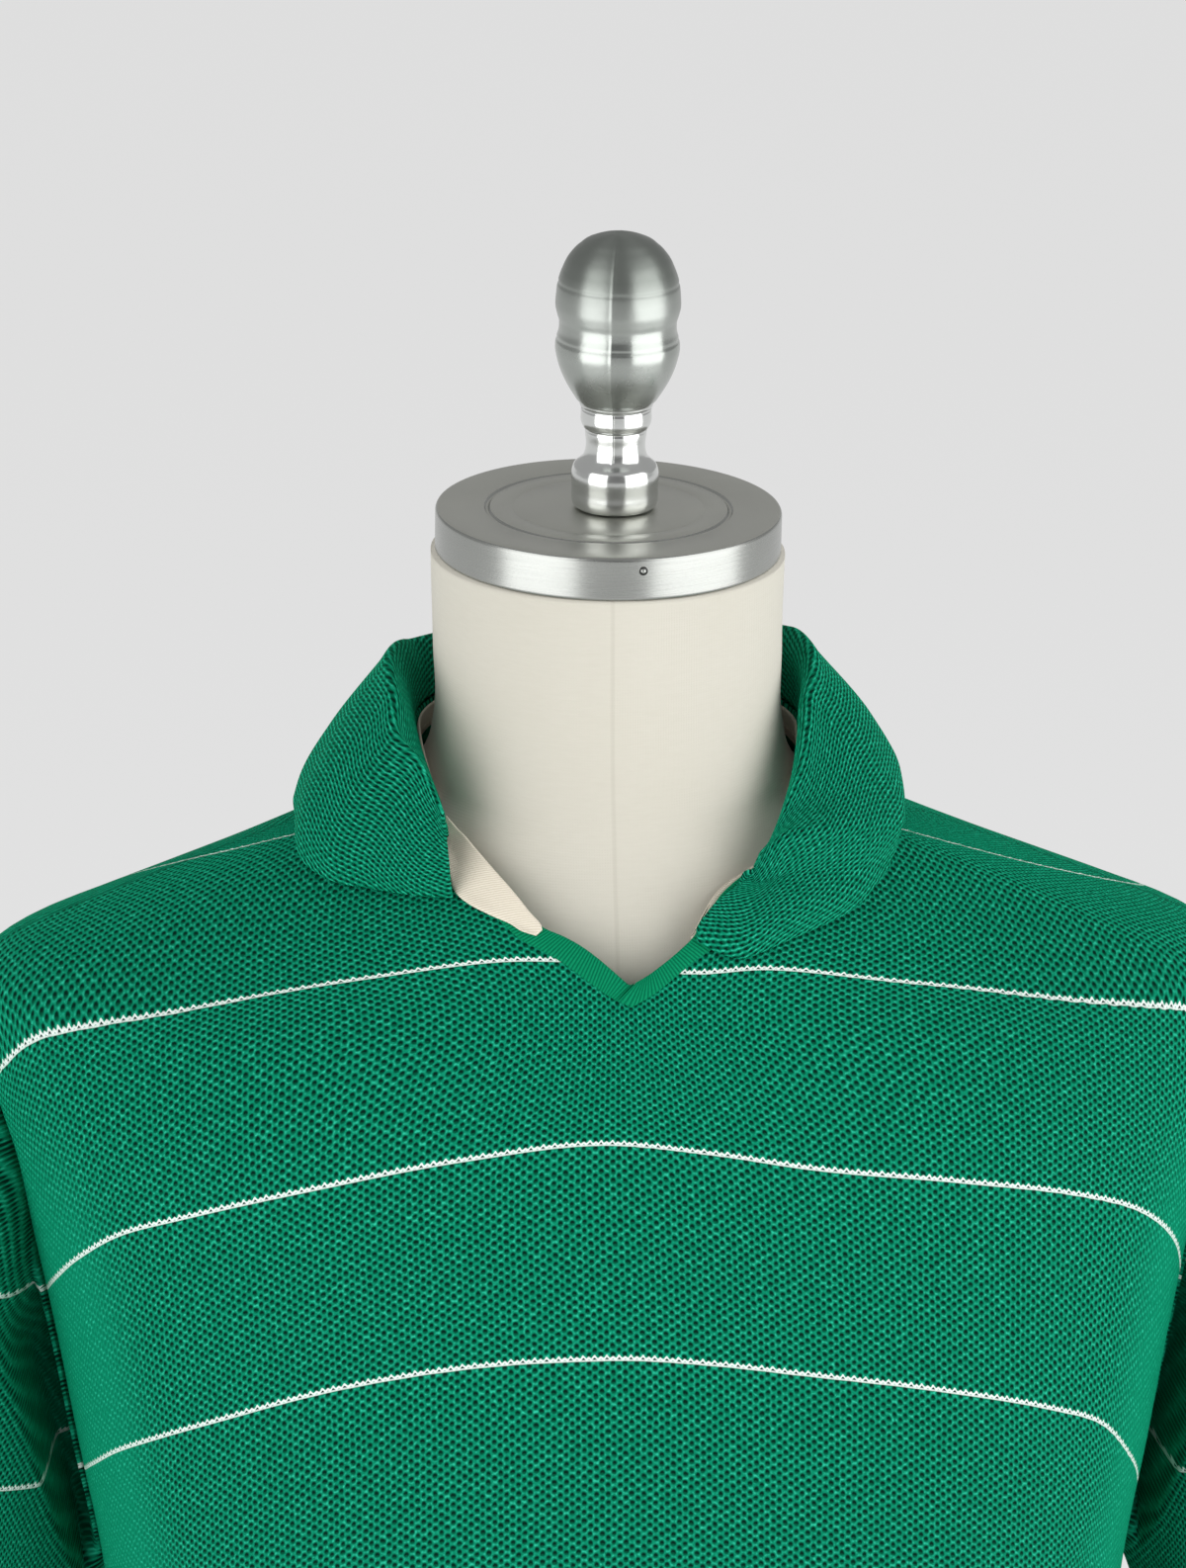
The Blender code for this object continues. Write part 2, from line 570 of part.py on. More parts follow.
def collar_and_facings():
    grid, leaf = collar_grid(COLLAR_COLUMNS, 5, 10)
    n = normals_of(grid)
    shell("collar", grid + n * COLLAR_WALL / 2, grid - n * COLLAR_WALL / 2, mesh_knit)

    # The facing of the wearer's left front is inside; only its edge shows beyond the V.
    along = np.linspace(8.8, 28.5, 15)
    edge = spline(column(V_EDGE, "angle"), column(V_EDGE, "left"), along)
    seam = spline(column(FRONT_NECK, "angle"), column(FRONT_NECK, "z"), along)
    w = np.array([FACING_SHOWS, 0.45, 1.0])[:, None]
    z = edge * (1 - w) + seam * w
    angle = np.broadcast_to(along, z.shape)
    deep = BODY_WALL + LAY_GAP + 0.3
    shell(
        "facing_left",
        lay_on(SHIRT, angle, z, -deep),
        lay_on(SHIRT, angle, z, -deep - FACING_WALL),
        cream,
    )

    # The facing of the wearer's right front is turned out over the panel and the band.
    across = np.linspace(0, 1, 5)
    along = np.linspace(0, len(LAPEL) - 2, 13)
    inner_a, inner_z, outer_a, outer_z = (spline(range(len(LAPEL) - 1), column(LAPEL, c), along) for c in LAPEL[0])
    a = inner_a[None, :] * (1 - across[:, None]) + outer_a[None, :] * across[:, None]
    z = inner_z[None, :] * (1 - across[:, None]) + outer_z[None, :] * across[:, None]
    low = LAY_GAP + 0.1 + (BAND_WALL - BODY_WALL)
    shell(
        "facing_right",
        lay_on(SHIRT, -a, z, low + FACING_WALL),
        lay_on(SHIRT, -a, z, low),
        cream,
    )

    # Tape over the back neck seam, inside.
    turn = np.linspace(-105, 105, 27)
    near = np.abs(turn)
    top = np.where(
        near <= 90,
        spline(column(BACK_NECK, "angle"), column(BACK_NECK, "z"), near),
        spline(column(FRONT_NECK, "angle"), column(FRONT_NECK, "z"), 180 - near),
    )
    drop = np.array([0.5, 5.0, 9.5])
    angle = np.broadcast_to(180 - turn, (3, len(turn)))
    z = top[None, :] - drop[:, None]
    shell(
        "neck_tape",
        lay_on(SHIRT, angle, z, -(BODY_WALL + LAY_GAP)),
        lay_on(SHIRT, angle, z, -(BODY_WALL + LAY_GAP + FACING_WALL * 0.8)),
        cream,
    )


def bands():
    """The V band, each side a strip from the panel's edge to the V, lapped at the point."""
    u, top = panel_top(FRONT_NECK)
    angles = 90 * u
    seam = around(SHIRT, angles, top)
    normal = outward(SHIRT, angles, top)
    lift = BAND_WALL - BODY_WALL
    for name, side in (("v_band_right", -1), ("v_band_left", 1)):
        pick = [i for i in range(len(u)) if -0.5 * side < angles[i] * side < BAND_REACH]
        pick = pick if side > 0 else pick[::-1]
        low = LAP_LOW + side * LAP_GAP
        start = [np.interp(low, angles, seam[:, k]) for k in range(3)]
        start_n = [np.interp(low, angles, normal[:, k]) for k in range(3)]
        near = np.array([start] + [seam[i] for i in pick])
        n = np.array([start_n] + [normal[i] for i in pick])
        far_a = [LAP_HIGH + side * LAP_GAP]
        for i in pick:
            step = angles[i] * (1 - BAND_RAKE)
            far_a.append(max(step, far_a[-1] + 0.5) if side > 0 else step)
        far_a = np.array(far_a)
        side_edge = column(V_EDGE, "left" if side > 0 else "right")
        far = around(SHIRT, far_a, spline(column(V_EDGE, "angle"), side_edge, np.abs(far_a)))
        across = far - near
        across /= np.linalg.norm(across, axis=1, keepdims=True)
        near = near + across * (SEAM_GAP + 0.15)
        w = np.linspace(0, 1, 4)[:, None, None]
        middle = near * (1 - w) + far * w
        shell(name, middle + n * lift, middle + n * (lift - BAND_WALL), band_knit)


for old in list(bpy.data.objects):
    bpy.data.objects.remove(old, do_unlink=True)
shirt = bpy.data.collections.new("polo_shirt_on_form")
bpy.context.scene.collection.children.link(shirt)
mesh_knit = principled("green_mesh_knit", (0.0, 0.26, 0.11), 0.85)
band_knit = principled("green_rib_band", (0.0, 0.22, 0.10), 0.85)
cream = principled("cream_facing", (0.78, 0.74, 0.63), 0.9)
linen = principled("linen_form", (0.80, 0.76, 0.66), 0.8)
metal = principled("bright_metal", (0.62, 0.63, 0.65), 0.25, 1.0)

form()
panel("shirt_front", FRONT_NECK, ARMHOLE_FRONT, False)
panel("shirt_back", BACK_NECK, ARMHOLE_BACK, True)
sleeve("sleeve_right", -1)
sleeve("sleeve_left", 1)
collar_and_facings()
bands()
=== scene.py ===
"""Open-mesh knit polo shirt on a linen tailor's form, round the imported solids. Metres, +Z up, front to -Y."""

from functools import partial
from math import cos, pi, radians, sin

import bpy
import numpy as np
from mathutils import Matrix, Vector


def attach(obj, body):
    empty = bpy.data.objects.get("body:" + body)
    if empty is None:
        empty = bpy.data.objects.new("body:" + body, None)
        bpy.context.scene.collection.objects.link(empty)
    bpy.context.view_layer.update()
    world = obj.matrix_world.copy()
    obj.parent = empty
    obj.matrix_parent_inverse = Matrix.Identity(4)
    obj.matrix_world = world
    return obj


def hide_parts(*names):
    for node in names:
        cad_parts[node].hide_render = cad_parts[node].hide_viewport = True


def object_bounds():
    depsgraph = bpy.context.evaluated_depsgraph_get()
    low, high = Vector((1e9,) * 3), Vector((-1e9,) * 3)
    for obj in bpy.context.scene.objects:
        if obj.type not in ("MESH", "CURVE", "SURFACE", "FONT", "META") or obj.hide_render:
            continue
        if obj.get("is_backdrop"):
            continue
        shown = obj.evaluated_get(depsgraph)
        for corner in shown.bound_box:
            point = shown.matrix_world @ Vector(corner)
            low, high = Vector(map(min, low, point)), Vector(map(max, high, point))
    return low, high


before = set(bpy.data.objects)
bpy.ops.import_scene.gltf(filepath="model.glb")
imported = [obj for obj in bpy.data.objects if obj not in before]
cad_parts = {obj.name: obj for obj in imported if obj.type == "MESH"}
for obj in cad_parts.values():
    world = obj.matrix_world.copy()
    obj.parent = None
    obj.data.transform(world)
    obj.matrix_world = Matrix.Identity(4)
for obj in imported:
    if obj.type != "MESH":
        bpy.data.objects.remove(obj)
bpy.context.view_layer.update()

# ---- The linen cover of the form ----
# A torso and neck of papier-mache under one tight layer of unbleached plain-weave linen, seamed down the
# centre front. Its heights are in millimetres below the top of the metal cap, as every height here is.
MM = 0.001
CAP_TOP = 775.0
NECK_BACK = 5.25
CAP_RIM = 15.6
CAP_LEAN = 1.0
SHOULDER_LEAN = 0.65
BODY_SWAY = 2.5
LINEN_SIDES = 168
FORM = (
    ("z", "half", "front", "back", "full_f", "full_b"),
    (-16, 62.8, 61, 61, 0, 0),
    (-50, 62.2, 60.5, 62, 0, 0),
    (-78, 62.5, 62, 66, 0, 0),
    (-92, 66, 65.5, 74, -0.02, -0.03),
    (-98, 70, 67.5, 77, -0.1, -0.14),
    (-105.9, 84, 69.5, 80, -0.22, -0.3),
    (-114.9, 104, 72.5, 83, -0.34, -0.46),
    (-126.9, 131, 77.5, 88, -0.4, -0.54),
    (-139.9, 160, 83, 93, -0.38, -0.51),
    (-151.9, 187, 88.5, 96, -0.32, -0.43),
    (-162, 203, 94, 99, -0.22, -0.3),
    (-176, 211, 100, 102, -0.1, -0.14),
    (-200, 209, 108, 106, 0.05, 0.05),
    (-236, 201, 115, 110, 0.18, 0.18),
    (-275, 193, 119.5, 111, 0.26, 0.26),
    (-315, 187, 121, 110, 0.3, 0.3),
    (-360, 181, 120, 106, 0.3, 0.3),
    (-440, 172, 112, 98, 0.28, 0.28),
    (-530, 165, 105, 93, 0.26, 0.26),
    (-610, 167, 105, 98, 0.26, 0.26),
    (-690, 174, 107, 105, 0.26, 0.26),
    (-767, 178, 107, 108, 0.26, 0.26),
    (-772.5, 176, 105, 106, 0.26, 0.26),
    (-775, 171, 100, 101, 0.26, 0.26),
)


def spline(xs, ys, at):
    """Smooth curve through points; xs may run either way."""
    xs, ys = np.asarray(xs, float), np.asarray(ys, float)
    if xs[0] > xs[-1]:
        xs, ys = xs[::-1], ys[::-1]
    at = np.clip(np.asarray(at, float), xs[0], xs[-1])
    wide = np.diff(xs)
    rise = np.diff(ys) / wide
    slope = np.empty_like(ys)
    slope[1:-1] = (rise[:-1] * wide[1:] + rise[1:] * wide[:-1]) / (wide[:-1] + wide[1:])
    slope[0], slope[-1] = rise[0], rise[-1]
    slope[1:-1][rise[:-1] * rise[1:] <= 0] = 0
    i = np.clip(np.searchsorted(xs, at, side="right") - 1, 0, len(xs) - 2)
    width = xs[i + 1] - xs[i]
    return hermite((at - xs[i]) / width, ys[i], width * slope[i], ys[i + 1], width * slope[i + 1])


def hermite(t, start, leave, end, arrive):
    """A cubic from start to end that leaves and arrives with the given slopes."""
    return (
        (2 * t**3 - 3 * t**2 + 1) * start
        + (t**3 - 2 * t**2 + t) * leave
        + (3 * t**2 - 2 * t**3) * end
        + (t**3 - t**2) * arrive
    )


def column(table, name):
    return np.array([row[table[0].index(name)] for row in table[1:]], float)


def read(table, name, at):
    """A table's column at places along its first one."""
    return spline(column(table, table[0][0]), column(table, name), at)


def smooth(value, start, end):
    t = np.clip((value - start) / (end - start), 0, 1)
    return t * t * (3 - 2 * t)


def tilt(x, z):
    """Drop of the shoulders to +X, fading out down the chest and up the neck."""
    return x * np.tan(np.radians(SHOULDER_LEAN)) * smooth(z, -340, -200) * smooth(z, -35, -80)


def around(table, angle, z):
    """Point of a sectioned body at an angle in degrees from centre front, 180 at centre back."""
    angle, z = np.broadcast_arrays(np.asarray(angle, float), np.asarray(z, float))
    half, front, back, full_f, full_b = (read(table, name, z) for name in table[0][1:])
    a = np.radians(angle)
    depth = np.where(np.cos(a) >= 0, front, back)
    full = np.where(np.cos(a) >= 0, full_f, full_b)
    x = half * np.sin(a) + BODY_SWAY * smooth(z, -165, -300)
    return np.stack([x, -depth * np.cos(a) * (1 + full * np.sin(a) ** 2), z - tilt(x, z)], -1)


def leant(points, share=1.0):
    """Points turned about the neck's top by the cap's lean."""
    a = radians(CAP_LEAN) * np.asarray(share, float)
    x, z = points[..., 0], points[..., 2]
    return np.stack([x + a * (z + CAP_RIM), points[..., 1], z - a * x], -1)


def quads(rows, cols, ring):
    """Corners of the faces between rows of points, with each face's row and column."""
    r, c = np.meshgrid(np.arange(rows - 1), np.arange(cols if ring else cols - 1), indexing="ij")
    r, c = r.ravel(), c.ravel()
    d = (c + 1) % cols
    return np.stack([r * cols + c, r * cols + d, (r + 1) * cols + d, (r + 1) * cols + c], -1), r, c


def stacked(rings):
    """Points and faces of a closed body from rings, flat at both ends."""
    count, sides = rings.shape[:2]
    faces = quads(count, sides, True)[0].tolist()
    faces.append(list(range(sides))[::-1])
    faces.append(list(range((count - 1) * sides, count * sides)))
    if rings[0, :, 2].mean() > rings[-1, :, 2].mean():
        faces = [f[::-1] for f in faces]
    return rings.reshape(-1, 3), faces


def shown(name, data, slot=None):
    """An object in the scene; with a slot, it rides on the part."""
    made = bpy.data.objects.new(name, data)
    bpy.context.scene.collection.objects.link(made)
    if slot:
        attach(made, "root")
    return made


def placed(name, points, faces, material, slot, node=None, uv=None, shade=None):
    """The piece as an object riding on the part: points in millimetres, one UV pair a corner."""
    mesh = bpy.data.meshes.new(name)
    mesh.from_pydata(((np.asarray(points) + (0, NECK_BACK, CAP_TOP)) * MM).tolist(), [], faces)
    mesh.polygons.foreach_set("use_smooth", np.ones(len(mesh.polygons), bool))
    if uv is not None:
        mesh.uv_layers.new(name="cloth").data.foreach_set("uv", np.asarray(uv, np.float32).ravel())
    mesh.materials.append(material)
    mesh.validate()
    if shade is not None:
        mesh.normals_split_custom_set_from_vertices(shade.tolist())
    piece = shown(name, mesh, slot)
    if node:
        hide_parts(node)
    return piece


def srgb(code):
    """A hex sRGB colour as linear red, green, blue and alpha."""
    parts = [int(code[i : i + 2], 16) / 255 for i in (1, 3, 5)]
    return (*[c / 12.92 if c <= 0.04045 else ((c + 0.055) / 1.055) ** 2.4 for c in parts], 1.0)


def add_node(tree, kind, *inputs, out=0, **settings):
    """Adds a node with its settings, its inputs in order or by name, and gives one of its outputs."""
    made = tree.nodes.new(kind if "Node" in kind else "ShaderNode" + kind)
    for key, value in settings.items():
        setattr(made, key, value)
    named = inputs[0] if inputs and isinstance(inputs[0], dict) else dict(enumerate(inputs))
    for key, value in named.items():
        if isinstance(value, bpy.types.NodeSocket):
            tree.links.new(value, made.inputs[key])
        else:
            made.inputs[key].default_value = value
    return made.outputs[out] if len(made.outputs) else made


def finished(name, fixed, build=None):
    """A material: fixed values on its Principled shader, and the links that build(add) gives."""
    material = bpy.data.materials.new(name)
    material.use_nodes = True
    tree = material.node_tree
    shader = tree.nodes["Principled BSDF"]
    for key, value in fixed.items():
        shader.inputs[key].default_value = value
    for key, socket in (build(partial(add_node, tree)) if build else {}).items():
        tree.links.new(socket, shader.inputs[key])
    return material


# Unbleached linen in plain weave, pulled tight and lightly sized: matt, pale cream, a thread count too fine
# to show, so it is drawn at 0.9 mm with thicker slubs, and a faint warm unevenness from age.
LINEN_THREAD_MM = 0.9
WAVES_A_UNIT = 3.2
SEAM_X = -3.2
SEAM_WIDE = 0.7
SEAM_PROUD = 0.35
LEAN_FADES = 45
COLOURS = {"data_type": "RGBA", "out": 2}
SOFTLY = {"interpolation_type": "SMOOTHSTEP"}


def linen_nodes(add):
    place = add("TexCoord", out="Object")
    thread = 1 / (LINEN_THREAD_MM * MM) / WAVES_A_UNIT
    thread = {"Vector": place, "Scale": thread, "Distortion": 1.2, "Detail": 2.0}
    warp, weft = (add("TexWave", thread, out="Fac", bands_direction=way) for way in "XZ")
    weave = add("Math", warp, weft, operation="ADD")
    age = add("TexNoise", {"Vector": place, "Scale": 9.0, "Detail": 3.0})
    drawn = add("Mapping", {"Vector": place, "Scale": (1, 1, 7)})
    slub = add("TexNoise", {"Vector": drawn, "Scale": 160.0, "Detail": 2.0})
    slub = add("Math", slub, 0.16, operation="MULTIPLY")
    tone = add("Mix", {0: age, 6: srgb("#D1CEC4"), 7: srgb("#C9C5B7")}, **COLOURS)
    tone = add("Mix", {0: slub, 6: tone, 7: srgb("#A9A392")}, **COLOURS)
    apart = add("SeparateXYZ", place).node.outputs
    off = add("Math", apart[0], -SEAM_X * MM, operation="ADD")
    off = add("Math", off, operation="ABSOLUTE")
    fold = add("MapRange", off, 1.1 * MM, 0.3 * MM, 0.0, 0.14, **SOFTLY)
    front = add("Math", apart[1], 0.0, operation="LESS_THAN")
    fold = add("Math", fold, front, operation="MULTIPLY")
    tone = add("Mix", {0: fold, 6: tone, 7: srgb("#8F897A")}, **COLOURS)
    bump = add("Bump", {"Height": weave, "Strength": 0.10, "Distance": 0.0003})
    return {"Base Color": tone, "Normal": bump}


sized = {"Roughness": 0.85, "Sheen Weight": 0.15, "Sheen Roughness": 0.5}
linen = finished("linen_plain_weave", sized, linen_nodes)
foot = [-767, -769, -771, -772.5, -774, -775]
height = np.concatenate([np.linspace(-CAP_RIM - 0.3, -200, 120), np.linspace(-202, -765, 80), foot])
turn = np.linspace(0, 360, LINEN_SIDES, endpoint=False)
rings = around(FORM, turn[None, :], height[:, None])
seam = np.exp(-(((rings[..., 0] - SEAM_X) / SEAM_WIDE) ** 2)) * (np.cos(np.radians(turn)) > 0)[None, :]
rings[..., 1] += SEAM_PROUD * seam * smooth(height, -250, -200)[:, None]
rings = leant(rings, np.maximum(0.0, 1 + (height + CAP_RIM) / LEAN_FADES)[:, None])
placed("form_linen", *stacked(rings), linen, "linen", "form_body")

# ---- The cap of the neck ----
# A turned aluminium disc that closes the neck, with two concentric grooves on its face, a softly broken edge
# and a small locking pin through its rim.
CAP_RADIUS = 61.3
CAP_SIDES = 200
PIN_RADIUS = 1.82
PIN_ANGLE = 6.7
PIN_Z = -4.8
PIN_SIDES = 20
# The cap's edge by height and by how far in from its radius. Each groove has its radius and half of its
# section, by how far out from its middle and by height.
CAP_EDGE = (
    ("z", "in"),
    (-CAP_RIM, 0.9),
    (-CAP_RIM + 0.2, 0.35),
    (-CAP_RIM + 0.7, 0),
    (-CAP_RIM + 1.3, 0),
    (-8, 0),
    (-2.2, 0),
    (-1.5, 0),
    (-0.9, 0.15),
    (-0.35, 0.5),
    (-0.08, 1.0),
    (0, 1.7),
)
CAP_GROOVES = (
    (43.0, ((1.4, 0), (1.0, -0.25), (0.5, -1.1), (0, -1.3))),
    (34.0, ((0.8, 0), (0.3, -0.25), (0, -0.3))),
)
CAP_BORE = 17.5
PIN_PROFILE = (
    ("out", "share"),
    (-1.6, 0.9),
    (0.02, 0.9),
    (0.05, 0.86),
    (0.05, 0.5),
    (0.4, 0.48),
    (0.62, 0.34),
    (0.7, 0.1),
)


# Aluminium brushed round its rim: fine streaks along the turn, a soft and slightly uneven shine.
def brushed_nodes(add):
    place = add("TexCoord", out="Object")
    drawn = add("Mapping", {"Vector": place, "Scale": (14, 14, 700)})
    along = add("TexNoise", {"Vector": drawn, "Scale": 3.0, "Detail": 4.0})
    smear = add("TexNoise", {"Vector": place, "Scale": 28.0, "Detail": 4.0})
    tone = add("Mix", {0: smear, 6: srgb("#989A97"), 7: srgb("#AEB0AC")}, **COLOURS)
    rough = add("MapRange", {"Value": along, "To Min": 0.2, "To Max": 0.34})
    bump = add("Bump", {"Height": along, "Strength": 0.12, "Distance": 0.0004})
    return {"Base Color": tone, "Roughness": rough, "Normal": bump}


# The same metal faced on a lathe: dull, with fine rings round its middle and smears from handling.
def turned_nodes(add):
    place = add("TexCoord", out="Object")
    place = add("Mapping", {"Vector": place, "Location": (0, -NECK_BACK * MM, -CAP_TOP * MM)})
    cut = {"Vector": place, "Scale": 420.0, "Distortion": 1.5, "Detail": 3.0}
    cut = add("TexWave", cut, out="Fac", wave_type="RINGS", rings_direction="Z")
    smear = add("TexNoise", {"Vector": place, "Scale": 45.0, "Detail": 5.0})
    tone = add("Mix", {0: smear, 6: srgb("#B9BAB3"), 7: srgb("#CACBC3")}, **COLOURS)
    rough = add("MapRange", {"Value": smear, "To Min": 0.3, "To Max": 0.44})
    bump = add("Bump", {"Height": cut, "Strength": 0.08, "Distance": 0.0002})
    return {"Base Color": tone, "Roughness": rough, "Normal": bump}


def turned(radius, sides):
    """A circle's x and y at each angle, one ring for each radius."""
    a = np.linspace(0, 2 * pi, sides, endpoint=False)
    return np.multiply.outer(radius, np.cos(a)), np.multiply.outer(radius, np.sin(a))


brushed = finished("aluminium_brushed", {"Metallic": 1.0}, brushed_nodes)
profile = [(z, CAP_RADIUS - inwards) for z, inwards in CAP_EDGE[1:]]
for middle, half in CAP_GROOVES:
    profile += [(z, middle + r) for r, z in half] + [(z, middle - r) for r, z in half[-2::-1]]
profile = np.array([*profile, (0, CAP_BORE)])
x, y = turned(profile[:, 1], CAP_SIDES)
rings = np.stack([x, y, np.broadcast_to(profile[:, :1], x.shape)], -1)
cap = placed("cap_disc", *stacked(leant(rings)), brushed, "metal", "form_cap")
cap.data.materials.append(finished("aluminium_turned_face", {"Metallic": 1.0}, turned_nodes))
for face in cap.data.polygons:
    face.material_index = int(face.normal.z > 0.6)

x, z = turned(PIN_RADIUS * column(PIN_PROFILE, "share"), PIN_SIDES)
y = np.broadcast_to(-CAP_RADIUS - column(PIN_PROFILE, "out")[:, None], x.shape)
t = radians(PIN_ANGLE)
rings = np.stack([x * cos(t) - y * sin(t), x * sin(t) + y * cos(t), PIN_Z + z], -1)
pin = placed("cap_pin", *stacked(leant(rings)), brushed, "metal")
# The flat ring round the pin's raised middle is painted dark, as painted shade of the hole it sits in.
pin_hole_shade = {"Base Color": srgb("#3A3B3A"), "Metallic": 1.0, "Roughness": 0.5}
pin.data.materials.append(finished("pin_hole_painted_shade", pin_hole_shade))
for face in pin.data.polygons[2 * PIN_SIDES : 3 * PIN_SIDES]:
    face.material_index = 1

# ---- The knob ----
# A handle cast in aluminium in two halves and polished, screwed upright into the cap. The seam of the mould
# is left as a fine line down the front and the back.
FINIAL_X = 2.0
KNOB_SIDES = 180
MOULD_LINE = 0.28
MOULD_WIDE = 0.45
MOULD_TURN = radians(10.2)
MOULD_FROM = 17, 19
KNOB_FOOT, KNOB_DOME = 38.0, 71.0
KNOB_STEPS = 61.5, 81.5
STEP_DEEP, STEP_WIDE = 0.35, 0.6
FINIAL = (
    ("z", "r"),
    (0.3, 13.7),
    (1.2, 14.7),
    (2.4, 15.15),
    (7, 15.3),
    (14.3, 15.1),
    (16, 14.4),
    (17.1, 13.1),
    (18.4, 11.7),
    (19.8, 11),
    (21.5, 10.6),
    (23.5, 10.5),
    (28.2, 10.9),
    (28.8, 10.4),
    (29.4, 11.4),
    (30.2, 11.9),
    (36, 12.4),
    (36.5, 11.8),
    (37.1, 12.6),
    (38.8, 13.2),
    (39.4, 13.9),
    (41, 15),
    (45.6, 17.8),
    (50.1, 19.9),
    (54.7, 21.3),
    (58.4, 21.9),
    (61.1, 21.7),
    (64.7, 20.7),
    (67.5, 20.6),
    (70.2, 21.3),
    (73.8, 22),
    (77.4, 21.8),
    (82, 21.2),
    (86.5, 19.7),
    (91, 17.4),
    (94.6, 14.1),
    (97.3, 9.9),
    (98.6, 5.3),
    (98.9, 3),
)


# Cast aluminium: bright and smooth at the foot, greyer on the grip, rubbed to a rougher finish over the dome,
# small dents. The top of the dome is painted darker, as painted shade.
def cast_nodes(add):
    place = add("TexCoord", out="Object")
    height = add("SeparateXYZ", place, out=2)
    top = CAP_TOP + KNOB_DOME
    grip = add("MapRange", height, (CAP_TOP + KNOB_FOOT - 1) * MM, (CAP_TOP + KNOB_FOOT + 2) * MM)
    dome = add("MapRange", height, (top - 6) * MM, (top + 5) * MM)
    crown_painted_light = add("MapRange", height, (top + 6) * MM, (top + 15) * MM)
    dents = add("TexNoise", {"Vector": place, "Scale": 130.0, "Detail": 3.0})
    smear = add("TexNoise", {"Vector": place, "Scale": 60.0, "Detail": 5.0})
    polished = add("MapRange", smear, 0.3, 0.7, 0.22, 0.32)
    rubbed = add("MapRange", smear, 0.3, 0.7, 0.34, 0.5)
    rough = add("Mix", {0: dome, 2: polished, 3: rubbed})
    rough = add("Mix", {0: grip, 2: 0.18, 3: rough})
    tone = add("Mix", {0: smear, 6: srgb("#9DA29D"), 7: srgb("#B8BCB8")}, **COLOURS)
    # Painted shade: the colour darkens towards the top of the dome.
    tone = add("Mix", {0: crown_painted_light, 6: tone, 7: srgb("#8A8F8A")}, **COLOURS)
    tone = add("Mix", {0: grip, 6: srgb("#DADCDA"), 7: tone}, **COLOURS)
    lathe = add("Tangent", direction_type="RADIAL", axis="Z")
    bump = add("Bump", {"Height": dents, "Strength": 0.10, "Distance": 0.0012})
    return {"Base Color": tone, "Roughness": rough, "Normal": bump, "Tangent": lathe}


polish = {"Metallic": 1.0, "Anisotropic": 0.7, "Anisotropic Rotation": 0.25}
cast = finished("aluminium_cast_polished", polish, cast_nodes)
height = np.concatenate([[0.3], np.linspace(0.6, 98.2, 200), [98.5, 98.75, 98.9]])
radius = read(FINIAL, "r", height)
for step in KNOB_STEPS:
    radius = radius - STEP_DEEP * np.exp(-(((height - step) / STEP_WIDE) ** 2))
a = np.linspace(0, 2 * pi, KNOB_SIDES, endpoint=False)
line = MOULD_LINE * np.exp(-((np.cos(a + MOULD_TURN)[None, :] * radius[:, None] / MOULD_WIDE) ** 2))
line = line * smooth(height, *MOULD_FROM)[:, None]
wide = radius[:, None] + line * smooth(radius, 3, 9)[:, None]
level = np.broadcast_to(height[:, None], wide.shape)
rings = np.stack([FINIAL_X + wide * np.cos(a), wide * np.sin(a), level], -1)
placed("knob", *stacked(leant(rings)), cast, "metal", "form_finial")

# ---- The body of the shirt ----
# Front and back are cut from one open-mesh cotton pique, knitted in green with a single white course every
# 78 mm, and joined at the shoulders and sides. The cloth hangs free of the form below the chest.
BODY_WALL = 1.4
HEM = -755.0
SHOULDER_TIP = -163.0
UNDERARM = -412.0
ARMHOLE_FRONT = 5.0, 15.0
ARMHOLE_BACK = 11.0, 17.0
PANEL_COLUMNS = 132
STRIPE_STEP = 78.0
HEM_STRIPE = 8.9
HEM_DEEP = 22.0
HEM_DOUBLE = 0.45
SHIRT = (
    ("z", "half", "front", "back", "full_f", "full_b"),
    (-70, 70, 62, 84, 0, 0),
    (-80, 70, 66, 84, 0, 0),
    (-86, 70.5, 68, 85, 0, 0),
    (-93, 72.5, 71, 86.5, -0.04, -0.06),
    (-100, 77.5, 74, 88.5, -0.16, -0.22),
    (-107, 91, 78, 91.5, -0.3, -0.42),
    (-115, 111, 82, 95, -0.38, -0.53),
    (-126, 139, 88, 98.5, -0.41, -0.56),
    (-137, 167, 93.5, 102, -0.37, -0.51),
    (-148, 194, 98.5, 105, -0.29, -0.42),
    (-157, 214, 102.5, 107.5, -0.2, -0.31),
    (-166, 226, 106, 110, -0.05, -0.2),
    (-180, 229, 111, 112.5, 0.1, 0),
    (-200, 228, 117, 115, 0.22, 0.18),
    (-232, 221, 122.5, 118, 0.3, 0.3),
    (-272, 213, 127, 119, 0.33, 0.32),
    (-312, 206, 129, 119, 0.38, 0.36),
    (-352, 200, 129.5, 117, 0.4, 0.38),
    (-392, 193.5, 129, 115, 0.4, 0.38),
    (-450, 188, 127, 111, 0.37, 0.36),
    (-550, 185, 123, 109, 0.35, 0.34),
    (-650, 189, 121, 112, 0.35, 0.34),
    (-755, 195, 122, 117, 0.35, 0.34),
)
FRONT_NECK = (
    ("angle", "z"),
    (0, -150),
    (2, -146.8),
    (4.8, -141.4),
    (8, -136),
    (11, -132.6),
    (14, -130),
    (18, -125.5),
    (24, -119.8),
    (30, -114.8),
    (36, -110.8),
    (44, -105.8),
    (52, -101.2),
    (66, -92),
    (78, -85),
    (90, -80),
)
BACK_NECK = (("angle", "z"), (0, -90), (30, -88.5), (60, -84), (90, -80))
